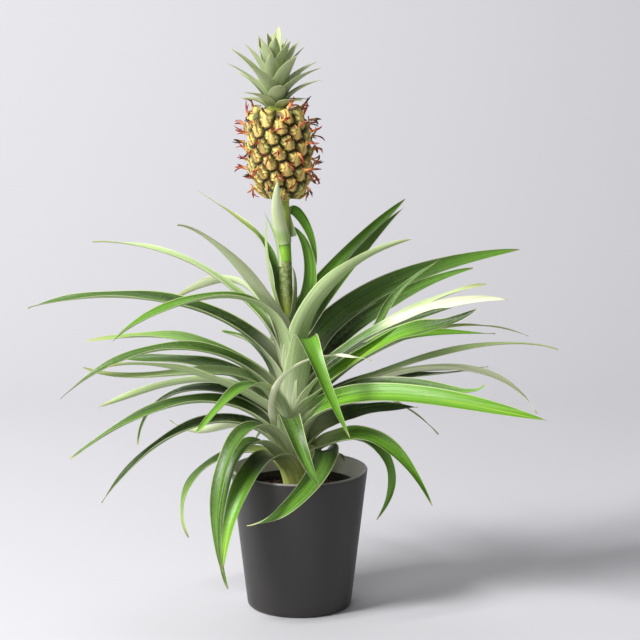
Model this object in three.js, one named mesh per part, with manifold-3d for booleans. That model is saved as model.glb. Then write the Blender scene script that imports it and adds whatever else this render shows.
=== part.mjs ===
// Potted pineapple plant: a young pineapple in fruit, growing in a thin nursery pot that stands
// inside a tapered ceramic planter.
// Millimetres, +Z up. The origin is on the floor, under the middle of the planter.
import * as THREE from 'three';
import { mergeVertices } from 'three/addons/utils/BufferGeometryUtils.js';
import Module from 'manifold-3d';

const wasm = await Module();
wasm.setup();

// Ceramic planter
const PLANTER_HEIGHT = 143;
const PLANTER_RIM_RADIUS = 69;
const PLANTER_CORNER_RADIUS = 53;
const PLANTER_FOOT_RADIUS = 49;
const PLANTER_CORNER_HEIGHT = 7;
const PLANTER_WALL = 3.8;
const PLANTER_FLOOR = 6;
const PLANTER_INNER_FILLET = 5;

// Nursery pot and the peat in it
const POT_RIM_HEIGHT = 126;
const POT_RIM_RADIUS = 58;
const POT_BASE_RADIUS = 44;
const POT_WALL = 1.2;
const POT_LIP = 1.6;
const POT_LIP_DEPTH = 4;
const DRAIN_HOLES = 6;
const DRAIN_HOLE_RADIUS = 4;
const DRAIN_RING_RADIUS = 30;
const SOIL_HEIGHT = 120;
const SOIL_CROWNING = 3;
const SOIL_ROUGHNESS = 1.6;

// Stem, flower stalk, fruit and crown, from the bottom up
const STEM_BOTTOM = 96;
const STEM_BASE_RADIUS = 12.5;
const STEM_TOP = 290;
const STEM_TOP_RADIUS = 8;
const STALK_RADIUS = 6.5;
const FRUIT_BOTTOM = 418;
const FRUIT_TOP = 506;
const FRUIT_RADIUS = 27.5;
const FRUIT_FOOT_RADIUS = 7.5;
const FRUIT_CAP_RADIUS = 12;
const EYES = 66;
const EYE_HEIGHT = 3.6;
const BRACT_LENGTH = 12.5;
const CROWN_STEM_TOP = 540;
const CROWN_STEM_RADIUS = 9.5;
const CROWN_LEAF_LENGTH = 55;
const CROWN_LEAF_WIDTH = 18;
const CROWN_LEAVES = 30;
const CROWN_LOWEST_RISE = 38;
const CROWN_HIGHEST_RISE = 82;

// Blades
const BLADE_THICKNESS = 1.4;
const BLADE_EDGE_THICKNESS = 0.7;
const BLADE_STATIONS = [0, 0.08, 0.2, 0.35, 0.52, 0.7, 0.87, 1];
const SMALL_BLADE_STATIONS = [0, 0.2, 0.42, 0.65, 0.87, 1];
const BLADE_TIP_HALF_WIDTH = 0.4;
const CHANNEL_ANGLE = 54;
const CLASP_ANGLE = 60;

// Clearance that touching pieces keep, and the golden angle of the spirals
const GAP = 0.3;
const GOLDEN_ANGLE = Math.PI * (3 - Math.sqrt(5));
const UP = new THREE.Vector3(0, 0, 1);

// The large leaves. Each row has the height of the root on the stem, the points a third of the way,
// two thirds of the way and all the way along the midrib, the greatest width, and the angles in
// degrees by which the blade is rolled at its root and at its tip.
const LEAVES = [
  // leaves that spread to the left
  [242, [-95, 5, 302], [-192, 12, 316], [-273, 20, 303], 28, -12, -10],
  [274, [-79, 30, 329], [-144, 60, 355], [-213, 85, 360], 17, 0, 0],
  [285, [-34, -20, 317], [-71, -58, 371], [-115, -95, 406], 23, 12, 8],
  [285, [-26, 12, 349], [-48, 35, 381], [-104, 75, 415], 13, 0, 0],
  [218, [-42, -25, 315], [-121, -55, 319], [-180, -80, 289], 26, -6, -4],
  [280, [-49, 35, 317], [-85, 75, 321], [-139, 105, 292], 20, 5, 70],
  [218, [-89, 15, 263], [-151, 25, 273], [-218, 35, 266], 22, -14, -14],
  [213, [-85, -15, 264], [-162, -30, 265], [-236, -40, 223], 24, -14, -12],
  [197, [-73, 30, 235], [-134, 58, 241], [-192, 78, 240], 24, -12, -30],
  [192, [-64, -25, 229], [-125, -45, 255], [-187, -60, 260], 21, 15, 30],
  [203, [-71, -12, 242], [-143, -22, 242], [-214, -30, 253], 22, -14, -14],
  [192, [-79, 35, 223], [-149, 70, 209], [-211, 95, 183], 20, 15, 50],
  [182, [-68, 0, 219], [-129, 8, 216], [-164, 15, 163], 20, -10, -20],
  [171, [-84, -10, 213], [-159, -20, 200], [-228, -30, 159], 26, -12, -10],
  [161, [-78, -5, 192], [-144, -10, 167], [-199, -15, 110], 23, -12, -12],
  [161, [-58, 30, 179], [-96, 70, 163], [-136, 100, 168], 21, 15, 45],
  // leaves that come forward
  [182, [-39, -35, 234], [-68, -80, 232], [-99, -115, 206], 24, 0, 0],
  [156, [-77, 12, 151], [-114, 12, 117], [-113, 8, 67], 14, -10, -60],
  [160, [-53, -50, 192], [-78, -85, 142], [-74, -92, 60], 24, 0, 0],
  [138, [-52, -46, 176], [-75, -72, 123], [-70, -78, 39], 23, 0, 0],
  [141, [-35, -45, 160], [-59, -84, 131], [-74, -98, 67], 34, 0, 0],
  [138, [27, -20, 163], [8, -80, 142], [-50, -110, 113], 31, 0, 0],
  [145, [-10, -45, 204], [0, -82, 190], [21, -90, 146], 26, 0, 0],
  [213, [5, -42, 280], [15, -84, 276], [50, -108, 200], 28, 0, 0],
  [186, [-25, -33, 218], [0, -52, 260], [72, -72, 269], 13, 50, 60],
  // leaves that spread to the right
  [290, [27, 35, 330], [66, 72, 366], [109, 108, 401], 22, 35, 30],
  [269, [22, 16, 307], [63, 40, 357], [106, 62, 399], 17, 50, 40],
  [244, [9, -35, 308], [50, -62, 359], [109, -75, 389], 24, -30, -20],
  [244, [47, 45, 296], [128, 70, 332], [226, 85, 352], 30, 50, 55],
  [233, [46, 34, 274], [108, 52, 312], [177, 60, 337], 23, 50, 45],
  [216, [72, 20, 272], [91, 22, 308], [142, 20, 353], 13, 20, 70],
  [218, [58, -6, 270], [131, -12, 308], [208, -14, 318], 22, 20, 50],
  [225, [55, 10, 269], [128, 14, 309], [189, 18, 328], 15, 0, 30],
  [210, [87, -32, 279], [129, -60, 299], [174, -80, 322], 27, 30, 48],
  [214, [47, -14, 260], [105, -28, 296], [151, -36, 314], 18, 10, 30],
  [205, [70, 4, 260], [124, 14, 277], [198, 24, 276], 20, 22, 26],
  [210, [72, 40, 250], [152, 75, 272], [238, 100, 258], 10, 0, 0],
  [197, [67, 5, 232], [166, 10, 263], [261, 12, 262], 15, 18, 18],
  [182, [61, -10, 228], [157, -22, 249], [237, -26, 205], 26, -8, 8],
  [187, [57, 18, 221], [113, 40, 228], [171, 60, 230], 20, 10, 10],
  [190, [63, 48, 222], [130, 95, 222], [198, 125, 220], 18, 0, 0],
  [177, [56, -50, 226], [147, -92, 232], [239, -115, 219], 34, 35, 35],
  [187, [71, -28, 235], [139, -50, 235], [184, -62, 243], 20, 10, 38],
  [172, [37, 12, 190], [75, 28, 196], [121, 40, 196], 26, 32, 32],
  [182, [47, 30, 212], [98, 55, 198], [144, 75, 159], 11, 0, 0],
  [156, [48, -20, 179], [89, -36, 173], [133, -46, 115], 28, 20, 35],
  [156, [61, 8, 170], [92, 14, 138], [79, 18, 83], 17, -30, 120],
  [145, [24, 12, 150], [37, 24, 152], [46, 30, 141], 12, 0, 0],
  // leaves that spread to the back
  [213, [-36, 50, 250], [-60, 95, 257], [-83, 130, 258], 21, 0, 0],
  [218, [-14, 65, 251], [-21, 125, 253], [-37, 175, 233], 20, 0, 0],
  [208, [15, 60, 243], [27, 120, 248], [40, 165, 227], 20, 0, 0],
  [171, [-17, 55, 180], [-28, 110, 169], [-49, 150, 134], 20, 0, 0],
];

// The small leaves on the flower stalk, in rows of the same kind.
const STALK_LEAVES = [
  [372, [-20, -13, 392], [-22, -27, 416], [-20, -40, 441], 18, 0, 0],
  [299, [-28, -9, 336], [-33, -7, 371], [-31, -4, 398], 8, 0, 0],
  [350, [-22, -2, 371], [-27, -3, 388], [-34, -5, 404], 8, 0, 0],
  [378, [-9, 11, 407], [7, 11, 390], [17, 8, 348], 15, 150, 120],
  [293, [10, 8, 326], [9, 8, 362], [-6, 6, 389], 17, 60, 75],
  [295, [-3, -4, 316], [-3, -5, 336], [-7, -4, 350], 10, 0, 0],
  [295, [-24, -6, 314], [-27, -8, 334], [-28, -9, 350], 8, 0, 0],
];

// Colours and finishes
const CERAMIC = new THREE.MeshStandardMaterial({ color: 0x45423f, roughness: 0.62, metalness: 0 });
const POT_PLASTIC = new THREE.MeshStandardMaterial({ color: 0x17171a, roughness: 0.45, metalness: 0 });
const PEAT = new THREE.MeshStandardMaterial({ color: 0x3a241c, roughness: 0.95, metalness: 0 });
const STEM_GREEN = new THREE.MeshStandardMaterial({ color: 0x8fa25a, roughness: 0.6, metalness: 0 });
const LEAF_GREEN = new THREE.MeshStandardMaterial({ color: 0x55803e, roughness: 0.5, metalness: 0 });
const FRUIT_YELLOW = new THREE.MeshStandardMaterial({ color: 0xa08c3c, roughness: 0.6, metalness: 0 });
const CROWN_GREEN = new THREE.MeshStandardMaterial({ color: 0x8fa37a, roughness: 0.55, metalness: 0 });

// A repeatable random number from 0 to 1.
let seed = 20240611;
function random() {
  seed = (Math.imul(seed, 1664525) + 1013904223) >>> 0;
  return seed / 4294967296;
}

// The middle of the plant's stem at a height. The whole stem leans to the left on one cubic curve.
function stemAxis(z) {
  const s = z - 100;
  return new THREE.Vector3((-0.114 + (0.00039 - 0.0000006 * s) * s) * s, 0, z);
}

function stemRadius(z) {
  return THREE.MathUtils.mapLinear(z, 100, STEM_TOP, STEM_BASE_RADIUS, STEM_TOP_RADIUS);
}

// A solid from corner points and triangles that share those points.
function solid(points, triangles) {
  const vertProperties = new Float32Array(points.flatMap((p) => [p.x, p.y, p.z]));
  return new wasm.Manifold(new wasm.Mesh({ numProp: 3, vertProperties, triVerts: new Uint32Array(triangles) }));
}

// A solid from a closed three.js geometry.
function solidFromGeometry(geometry) {
  geometry.deleteAttribute('normal');
  geometry.deleteAttribute('uv');
  const merged = mergeVertices(geometry, 1e-4);
  return new wasm.Manifold(new wasm.Mesh({
    numProp: 3,
    vertProperties: new Float32Array(merged.attributes.position.array),
    triVerts: new Uint32Array(merged.index.array),
  }));
}

// A solid through rings that all have the same number of points, with both ends closed. On a thin
// blade the second half of each ring lies under the first, and its quads are split the same way,
// so that the two faces stay the same distance apart where the blade twists.
function loft(rings, thin = false) {
  const sides = rings[0].length;
  const triangles = [];
  for (let i = 0; i + 1 < rings.length; i += 1) {
    for (let k = 0; k < sides; k += 1) {
      const a = i * sides + k;
      const b = i * sides + ((k + 1) % sides);
      if (thin && k >= sides / 2) {
        triangles.push(a, b, a + sides, b, b + sides, a + sides);
      } else {
        triangles.push(a, b, b + sides, a, b + sides, a + sides);
      }
    }
  }
  const last = (rings.length - 1) * sides;
  const closeEnds = (a, b, c) => triangles.push(a, c, b, last + a, last + b, last + c);
  if (thin) {
    for (let k = 0; k + 1 < sides / 2; k += 1) {
      closeEnds(k, k + 1, sides - 2 - k);
      closeEnds(k, sides - 2 - k, sides - 1 - k);
    }
  } else {
    for (let k = 1; k + 1 < sides; k += 1) {
      closeEnds(0, k, k + 1);
    }
  }
  return solid(rings.flat(), triangles);
}

// A round ring, level with the floor.
function levelRing(centre, radius, sides) {
  return Array.from({ length: sides }, (_, k) => {
    const angle = (2 * Math.PI * k) / sides;
    return centre.clone().add(new THREE.Vector3(radius * Math.cos(angle), radius * Math.sin(angle), 0));
  });
}

// A turned solid from points of radius and height that start and end on the axis.
function turned(profile, sides) {
  const points = profile.map(([radius, height]) => new THREE.Vector2(radius, height));
  return solidFromGeometry(new THREE.LatheGeometry(points, sides).rotateX(Math.PI / 2));
}

// Points of an arc in a turned profile, without its first point. Angles are in degrees.
function profileArc(radius, height, size, from, to, steps) {
  return Array.from({ length: steps }, (_, k) => {
    const angle = THREE.MathUtils.degToRad(from + ((to - from) * (k + 1)) / steps);
    return [radius + size * Math.cos(angle), height + size * Math.sin(angle)];
  });
}

// The frame of a blade at a share t of its length: the middle of the blade, the direction across
// it and the direction that its upper face looks to. The midrib is the cubic curve through the
// root, the points at a third and two thirds, and the tip.
function bladeFrame([rootHeight, third, twoThirds, tip, , rollRoot, rollTip], rootRadius, t) {
  const centre = stemAxis(rootHeight);
  const a = new THREE.Vector3(...third);
  const b = new THREE.Vector3(...twoThirds);
  const end = new THREE.Vector3(...tip);
  const heading = a.clone().lerp(b, 0.5).sub(centre).setZ(0).normalize();
  const root = centre.clone().addScaledVector(heading, rootRadius);
  const weights = [
    (1 - 3 * t) * (2 - 3 * t) * (1 - t) / 2,
    9 * t * (2 - 3 * t) * (1 - t) / 2,
    9 * t * (3 * t - 1) * (1 - t) / 2,
    t * (3 * t - 1) * (3 * t - 2) / 2,
  ];
  const slopes = [
    (-11 + 36 * t - 27 * t * t) / 2,
    (18 - 90 * t + 81 * t * t) / 2,
    (-9 + 72 * t - 81 * t * t) / 2,
    (2 - 18 * t + 27 * t * t) / 2,
  ];
  const corners = [root, a, b, end];
  const middle = new THREE.Vector3();
  const along = new THREE.Vector3();
  corners.forEach((corner, k) => {
    middle.addScaledVector(corner, weights[k]);
    along.addScaledVector(corner, slopes[k]);
  });
  along.normalize();
  const across = UP.clone().cross(heading);
  across.addScaledVector(along, -across.dot(along)).normalize();
  const roll = THREE.MathUtils.degToRad(rollRoot + (rollTip - rollRoot) * t);
  across.applyAxisAngle(along, roll);
  return { middle, across, above: along.clone().cross(across) };
}

// Half the width of a blade: broad where it clasps the stem, even along the middle, then tapered.
function bladeHalfWidth(width, t) {
  const taper = (1 - t ** 2.4) ** 0.8;
  const clasp = 1 + 0.35 * Math.exp(-((t / 0.1) ** 2));
  return Math.max(0.5 * width * taper * clasp, BLADE_TIP_HALF_WIDTH);
}

// A blade is a shallow channel. Its section has three points on the upper face and three on the
// lower one. The channel is deepest where the blade clasps the stem. grow widens it all round.
function blade(row, rootRadius, stations, grow = 0) {
  const rings = stations.map((t) => {
    const { middle, across, above } = bladeFrame(row, rootRadius, t);
    const half = bladeHalfWidth(row[4], t);
    const bend = THREE.MathUtils.degToRad(
      CHANNEL_ANGLE + (CLASP_ANGLE - CHANNEL_ANGLE) * Math.exp(-((t / 0.12) ** 2)),
    );
    const side = (half * Math.sin(bend)) / bend;
    const lift = (half * (1 - Math.cos(bend))) / bend;
    const point = (u, thickness) => middle.clone()
      .addScaledVector(across, u * (side + grow))
      .addScaledVector(above, Math.abs(u) * lift + 0.5 * thickness);
    const middleThickness = (BLADE_THICKNESS - 0.6 * t) + 2 * grow;
    const edgeThickness = BLADE_EDGE_THICKNESS + 2 * grow;
    return [
      point(1, edgeThickness), point(0, middleThickness), point(-1, edgeThickness),
      point(-1, -edgeThickness), point(0, -middleThickness), point(1, -edgeThickness),
    ];
  });
  return loft(rings, true);
}

// The largest piece of a solid that cutting has split.
function largest(cut) {
  const pieces = cut.decompose();
  return pieces.reduce((best, piece) => (piece.volume() > best.volume() ? piece : best));
}

function boxesMeet(a, b) {
  const boxA = a.boundingBox();
  const boxB = b.boundingBox();
  return [0, 1, 2].every((k) => boxA.min[k] < boxB.max[k] && boxB.min[k] < boxA.max[k]);
}

function makePlanter() {
  const rim = PLANTER_WALL / 2;
  const corner = PLANTER_CORNER_HEIGHT;
  const innerRadius = PLANTER_CORNER_RADIUS - PLANTER_WALL;
  const fillet = PLANTER_INNER_FILLET;
  return turned([
    [0, 0],
    [PLANTER_FOOT_RADIUS, 0],
    [PLANTER_FOOT_RADIUS + 2.6, 1.6],
    [PLANTER_CORNER_RADIUS, corner],
    [PLANTER_RIM_RADIUS, PLANTER_HEIGHT - rim],
    ...profileArc(PLANTER_RIM_RADIUS - rim, PLANTER_HEIGHT - rim, rim, 0, 180, 4),
    [innerRadius, PLANTER_FLOOR + fillet],
    [innerRadius - 0.4 * fillet, PLANTER_FLOOR + 0.25 * fillet],
    [innerRadius - fillet, PLANTER_FLOOR],
    [0, PLANTER_FLOOR],
  ], 48);
}

function makeGrowPot() {
  const bottom = PLANTER_FLOOR + GAP;
  let pot = turned([
    [0, bottom],
    [POT_BASE_RADIUS - 2, bottom],
    [POT_BASE_RADIUS, bottom + 2],
    [POT_RIM_RADIUS, POT_RIM_HEIGHT - POT_LIP_DEPTH],
    [POT_RIM_RADIUS + POT_LIP, POT_RIM_HEIGHT - POT_LIP_DEPTH],
    [POT_RIM_RADIUS + POT_LIP, POT_RIM_HEIGHT],
    [POT_RIM_RADIUS - POT_WALL, POT_RIM_HEIGHT],
    [POT_BASE_RADIUS - POT_WALL, bottom + 2 + POT_WALL],
    [POT_BASE_RADIUS - 2 - POT_WALL, bottom + POT_WALL],
    [0, bottom + POT_WALL],
  ], 36);
  for (let k = 0; k < DRAIN_HOLES; k += 1) {
    const angle = (2 * Math.PI * k) / DRAIN_HOLES;
    const hole = new THREE.CylinderGeometry(DRAIN_HOLE_RADIUS, DRAIN_HOLE_RADIUS, 10, 12).rotateX(Math.PI / 2);
    hole.translate(DRAIN_RING_RADIUS * Math.cos(angle), DRAIN_RING_RADIUS * Math.sin(angle), bottom);
    pot = pot.subtract(solidFromGeometry(hole));
  }
  return pot;
}

// The peat fills the nursery pot. Its top is lumpy and lies a little higher round the stem.
function makeSoil() {
  const bottom = PLANTER_FLOOR + GAP + POT_WALL + GAP;
  const innerRadius = (z) => THREE.MathUtils.mapLinear(
    z, bottom + 2, POT_RIM_HEIGHT, POT_BASE_RADIUS - POT_WALL - GAP, POT_RIM_RADIUS - POT_WALL - GAP,
  );
  const edgeHeight = SOIL_HEIGHT - 2;
  const edge = innerRadius(edgeHeight) - 0.4;
  const rings = [0.18, 0.36, 0.54, 0.72, 0.88, 1];
  const profile = [[0, bottom], [POT_BASE_RADIUS - 5, bottom], [innerRadius(bottom + 4) - 0.4, bottom + 4]];
  [...rings].reverse().forEach((share) => profile.push([edge * share, edgeHeight]));
  profile.push([0, edgeHeight]);
  const points = profile.map(([radius, height]) => new THREE.Vector2(radius, height));
  const geometry = new THREE.LatheGeometry(points, 32).rotateX(Math.PI / 2);
  const position = geometry.attributes.position;
  for (let k = 0; k < position.count; k += 1) {
    const x = position.getX(k);
    const y = position.getY(k);
    if (position.getZ(k) > edgeHeight - 1) {
      const inward = 1 - (Math.hypot(x, y) / edge) ** 2;
      const lumps = Math.sin(0.31 * x + 1.3) * Math.cos(0.27 * y - 0.4) + 0.6 * Math.sin(0.52 * (x + y));
      position.setZ(k, edgeHeight + SOIL_CROWNING * inward + SOIL_ROUGHNESS * lumps * Math.min(1, 4 * inward));
    }
  }
  return solidFromGeometry(geometry);
}

// The stem is thickest in the soil. grow makes the hole that it stands in.
function makeStem(grow = 0) {
  const heights = [STEM_BOTTOM, 120, 160, 205, 250, STEM_TOP];
  return loft(heights.map((z, k) => {
    const lengthen = k === 0 ? -grow : 0;
    return levelRing(stemAxis(z + lengthen).setZ(z + lengthen), stemRadius(z) + grow, 14);
  }));
}

// The flower stalk without its leaves, from the top of the stem to the fruit.
function makeBareStalk(grow = 0) {
  const heights = [STEM_TOP + GAP, 305, 330, 355, 380, 400, FRUIT_BOTTOM - GAP];
  const radii = [7.6, 7, STALK_RADIUS, STALK_RADIUS, 6.2, 5.8, 6.6];
  return loft(heights.map((z, k) => levelRing(stemAxis(z), radii[k] + grow, 12)));
}

// The stalk with its small leaves.
function makeStalk(grow = 0) {
  const leaves = STALK_LEAVES.map((row) => blade(row, STALK_RADIUS - 1.5, SMALL_BLADE_STATIONS, grow));
  return wasm.Manifold.union([makeBareStalk(grow), ...leaves]);
}

// Radius of the fruit's body at a share of its height: a barrel with a square top and a round foot.
function fruitRadius(share) {
  const fromMiddle = Math.min(1, Math.abs(2 * share - 1));
  const [end, power] = share > 0.5 ? [FRUIT_CAP_RADIUS, 4] : [FRUIT_FOOT_RADIUS, 2.2];
  return end + (FRUIT_RADIUS - end) * Math.sqrt(1 - fromMiddle ** power);
}

// Place on the fruit's surface of a point that lies at a share of the height and at an angle.
function fruitPlace(share, angle) {
  const height = FRUIT_TOP - FRUIT_BOTTOM;
  const slope = (fruitRadius(share + 0.01) - fruitRadius(share - 0.01)) / (0.02 * height);
  const out = new THREE.Vector3(Math.cos(angle), Math.sin(angle), 0);
  const around = new THREE.Vector3(-Math.sin(angle), Math.cos(angle), 0);
  const outward = out.clone().addScaledVector(UP, -slope).normalize();
  const middle = stemAxis(FRUIT_BOTTOM + share * height).addScaledVector(out, fruitRadius(share));
  return { middle, outward, upward: outward.clone().cross(around), around };
}

// The fruit is covered by fruitlets on one golden-angle spiral, so each touches six others, 5, 8
// and 13 places before and after it. Three neighbours share a corner in the groove between them.
// Each fruitlet is a raised cushion, and its lower half carries the dry bract, a spike that curls.
function makeFruit() {
  const neighbours = [8, 13, 5, -8, -13, -5];
  const place = (k) => {
    const share = 0.05 + (0.9 * (k + 0.5)) / EYES;
    return fruitPlace(THREE.MathUtils.clamp(share, 0.004, 0.996), k * GOLDEN_ANGLE);
  };
  const points = [stemAxis(FRUIT_BOTTOM + 2), stemAxis(FRUIT_TOP - 2)];
  const triangles = [];
  const corners = new Map();
  const cornerOf = (...eyes) => {
    const key = eyes.sort((a, b) => a - b).join(' ');
    if (!corners.has(key)) {
      const middle = new THREE.Vector3();
      eyes.forEach((eye) => middle.addScaledVector(place(eye).middle, 1 / 3));
      corners.set(key, points.push(middle) - 1);
    }
    return corners.get(key);
  };
  for (let k = 0; k < EYES; k += 1) {
    const { middle, outward, upward, around } = place(k);
    const groove = neighbours.map((step, n) => cornerOf(k, k + step, k + neighbours[(n + 1) % 6]));
    const cushion = groove.map((corner) => {
      const point = middle.clone().lerp(points[corner], 0.66).addScaledVector(outward, EYE_HEIGHT);
      return points.push(point) - 1;
    });
    const hollow = points.push(middle.clone().addScaledVector(outward, EYE_HEIGHT - 1)) - 1;
    const length = BRACT_LENGTH * (0.35 + 0.65 * Math.min(1, (5 * (k + 1)) / EYES));
    const tip = middle.clone()
      .addScaledVector(outward, EYE_HEIGHT + length * (0.45 + 0.4 * random()))
      .addScaledVector(upward, length * (0.1 + 0.6 * random()))
      .addScaledVector(around, length * (random() - 0.5));
    const bract = points.push(tip) - 1;
    for (let n = 0; n < 6; n += 1) {
      const next = (n + 1) % 6;
      triangles.push(groove[n], groove[next], cushion[next], groove[n], cushion[next], cushion[n]);
      const beyond = k + neighbours[next];
      if (beyond < 0 || beyond >= EYES) {
        triangles.push(groove[next], groove[n], beyond < 0 ? 0 : 1);
      }
    }
    const lower = [cushion[2], cushion[3], cushion[4], cushion[5], hollow];
    lower.forEach((corner, n) => triangles.push(corner, lower[(n + 1) % 5], bract));
    const upper = [cushion[5], cushion[0], cushion[1], cushion[2]];
    upper.slice(1).forEach((corner, n) => triangles.push(hollow, upper[n], corner));
  }
  return solid(points, triangles).add(loft([
    levelRing(stemAxis(FRUIT_BOTTOM), FRUIT_FOOT_RADIUS, 16),
    levelRing(stemAxis(FRUIT_TOP), FRUIT_CAP_RADIUS, 16),
  ]));
}

// A crown leaf: short, broad, stiff and keeled. It leaves the crown's stem at the angle rise and
// then bends outward. From 0 to 1, blunt keeps it broader toward its tip.
function makeCrownLeaf(root, heading, rise, length, width, outward, blunt) {
  const across = UP.clone().cross(heading);
  const forward = heading.clone().multiplyScalar(Math.cos(rise)).addScaledVector(UP, Math.sin(rise));
  const above = forward.clone().cross(across);
  const sections = [
    [0, 0.8, 1.6],
    [0.3, 0.93 + 0.07 * blunt, 1.5],
    [0.6, 0.67 + 0.23 * blunt, 1.3],
    [0.85, 0.28 + 0.22 * blunt, 1.1],
    [1, 0.05, 0.8],
  ];
  return loft(sections.map(([share, broad, thick]) => {
    const middle = root.clone()
      .addScaledVector(forward, length * share)
      .addScaledVector(above, -outward * length * share * share);
    const edge = middle.clone().addScaledVector(above, 0.22 * width * broad);
    return [
      edge.clone().addScaledVector(across, -0.5 * width * broad),
      middle.clone().addScaledVector(above, -thick),
      edge.clone().addScaledVector(across, 0.5 * width * broad),
    ];
  }));
}

// The crown: leaves on a golden-angle spiral up a short stem, spreading at the foot, erect on top.
function makeCrown() {
  const bottom = FRUIT_TOP + GAP;
  const pieces = [loft([
    levelRing(stemAxis(bottom), CROWN_STEM_RADIUS, 10),
    levelRing(stemAxis(CROWN_STEM_TOP), 3, 10),
  ])];
  for (let k = 0; k < CROWN_LEAVES; k += 1) {
    const share = k / (CROWN_LEAVES - 1);
    const angle = k * GOLDEN_ANGLE + 0.6;
    const heading = new THREE.Vector3(Math.cos(angle), Math.sin(angle), 0);
    const spread = THREE.MathUtils.lerp(CROWN_LOWEST_RISE, CROWN_HIGHEST_RISE, share ** 0.7);
    const rise = THREE.MathUtils.degToRad(spread + 16 * (random() - 0.5));
    const height = THREE.MathUtils.lerp(bottom + 1, CROWN_STEM_TOP - 4, share ** 1.2);
    const root = stemAxis(height).addScaledVector(heading, 0.95 * CROWN_STEM_RADIUS * (1 - share));
    const growth = 0.5 + 0.5 * Math.sin(Math.PI * Math.min(0.5, share)) - 0.24 * Math.max(0, share - 0.5);
    const length = CROWN_LEAF_LENGTH * (growth + 0.22 * (random() - 0.5));
    const width = CROWN_LEAF_WIDTH * (1 - 0.15 * share);
    pieces.push(makeCrownLeaf(root, heading, rise, length, width, 0.46 * (1 - share) + 0.06, share));
  }
  // Keeping the largest skin fills any hollow that the leaves close off between them.
  return largest(wasm.Manifold.union(pieces).trimByPlane([0, 0, 1], bottom));
}

// The large leaves from the lowest root to the highest. Where the base of a leaf meets the stem
// or the sheath of a leaf below, it ends just short of it.
function makeLeaves() {
  const order = LEAVES.map((row, k) => ({ row, name: `leaf_${String(k + 1).padStart(2, '0')}` }))
    .sort((a, b) => a.row[0] - b.row[0]);
  const spaces = [makeStem(GAP), makeStalk(GAP)];
  for (const leaf of order) {
    const radius = stemRadius(leaf.row[0]) + 1;
    let piece = blade(leaf.row, radius, BLADE_STATIONS);
    for (const space of spaces) {
      if (boxesMeet(piece, space)) {
        piece = piece.subtract(space);
      }
    }
    leaf.solid = largest(piece);
    spaces.push(blade(leaf.row, radius, BLADE_STATIONS, GAP));
  }
  return order.sort((a, b) => a.name.localeCompare(b.name));
}

function toMesh(name, shape, material) {
  const { vertProperties, triVerts } = shape.getMesh();
  const geometry = new THREE.BufferGeometry();
  geometry.setAttribute('position', new THREE.BufferAttribute(new Float32Array(vertProperties), 3));
  geometry.setIndex(new THREE.BufferAttribute(new Uint32Array(triVerts), 1));
  const mesh = new THREE.Mesh(geometry, material.clone());
  mesh.name = name;
  return mesh;
}

const plant = new THREE.Group();
plant.add(
  toMesh('planter', makePlanter(), CERAMIC),
  toMesh('grow_pot', makeGrowPot(), POT_PLASTIC),
  toMesh('soil', makeSoil().subtract(makeStem(GAP)), PEAT),
  toMesh('stem', makeStem(), STEM_GREEN),
  toMesh('flower_stalk', makeStalk(), STEM_GREEN),
  toMesh('fruit', makeFruit(), FRUIT_YELLOW),
  toMesh('crown', makeCrown(), CROWN_GREEN),
);
for (const leaf of makeLeaves()) {
  plant.add(toMesh(leaf.name, leaf.solid, LEAF_GREEN));
}

export default plant;
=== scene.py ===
# %% [markdown]
# # A potted pineapple plant
#
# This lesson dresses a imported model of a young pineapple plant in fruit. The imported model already
# holds every piece at its real size: a tapered planter, a nursery pot of peat, a stem, 52 long
# leaves, a flower stalk, a fruit and its crown. Its solids are coarse and faceted. Here each of them
# gets the fine surface and the finish that the eye expects, in exactly the same place.
#
# Almost everything on a plant is a thin strip that bends through space, so most of the pieces below
# come from one idea: carry a cross section along a curve, and work out all its points as one array.

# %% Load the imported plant
import math

import bmesh
import bpy
import numpy as np
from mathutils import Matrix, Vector


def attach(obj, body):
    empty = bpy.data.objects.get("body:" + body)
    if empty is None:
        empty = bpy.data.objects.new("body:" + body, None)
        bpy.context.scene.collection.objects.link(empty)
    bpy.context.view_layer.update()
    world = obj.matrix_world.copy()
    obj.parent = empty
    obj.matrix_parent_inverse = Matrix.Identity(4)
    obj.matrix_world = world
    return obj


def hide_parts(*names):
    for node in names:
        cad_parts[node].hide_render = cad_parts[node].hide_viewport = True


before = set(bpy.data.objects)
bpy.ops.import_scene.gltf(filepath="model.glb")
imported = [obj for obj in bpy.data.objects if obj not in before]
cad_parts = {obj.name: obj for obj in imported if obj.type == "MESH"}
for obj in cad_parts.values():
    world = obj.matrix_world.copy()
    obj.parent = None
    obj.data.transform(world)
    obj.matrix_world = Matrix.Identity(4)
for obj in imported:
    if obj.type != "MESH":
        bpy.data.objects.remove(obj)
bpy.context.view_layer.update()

# %% [markdown]
# ## Arrays of points become meshes
#
# Each surface below is a grid of points: rows run along it and columns run round it. Every grid here
# closes on itself, as a tube does, and its ends shrink to a point, so merging the doubled points
# leaves a watertight mesh. Points are in millimetres, as on a maker's drawing, and become metres at
# the last moment. A fourth dimension of the array holds repeats, such as the leaves of the crown.

# %% Turn grids into one mesh
MM = 0.001
MERGE_DISTANCE = 2e-6
SHARP_ANGLE = math.radians(48)


def grid(*coordinates):
    """Points from coordinates that are spread over each other's rows and columns."""
    return np.stack(np.broadcast_arrays(*coordinates), axis=-1)


def on_grid(points, *values):
    """One vector at each point, from values on rows, on columns or on the whole grid."""
    return np.stack([value + 0 * points[..., 0] for value in values], axis=-1)


def both_faces(upper, lower):
    """Columns that run across an upper face and back across the lower one."""
    return np.concatenate([upper, np.flip(lower, axis=-2)], axis=-2)


def repeat_ends(values):
    """The grid with its first and its last row doubled."""
    return np.concatenate([values[..., :1, :, :], values, values[..., -1:, :, :]], axis=-3)


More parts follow.
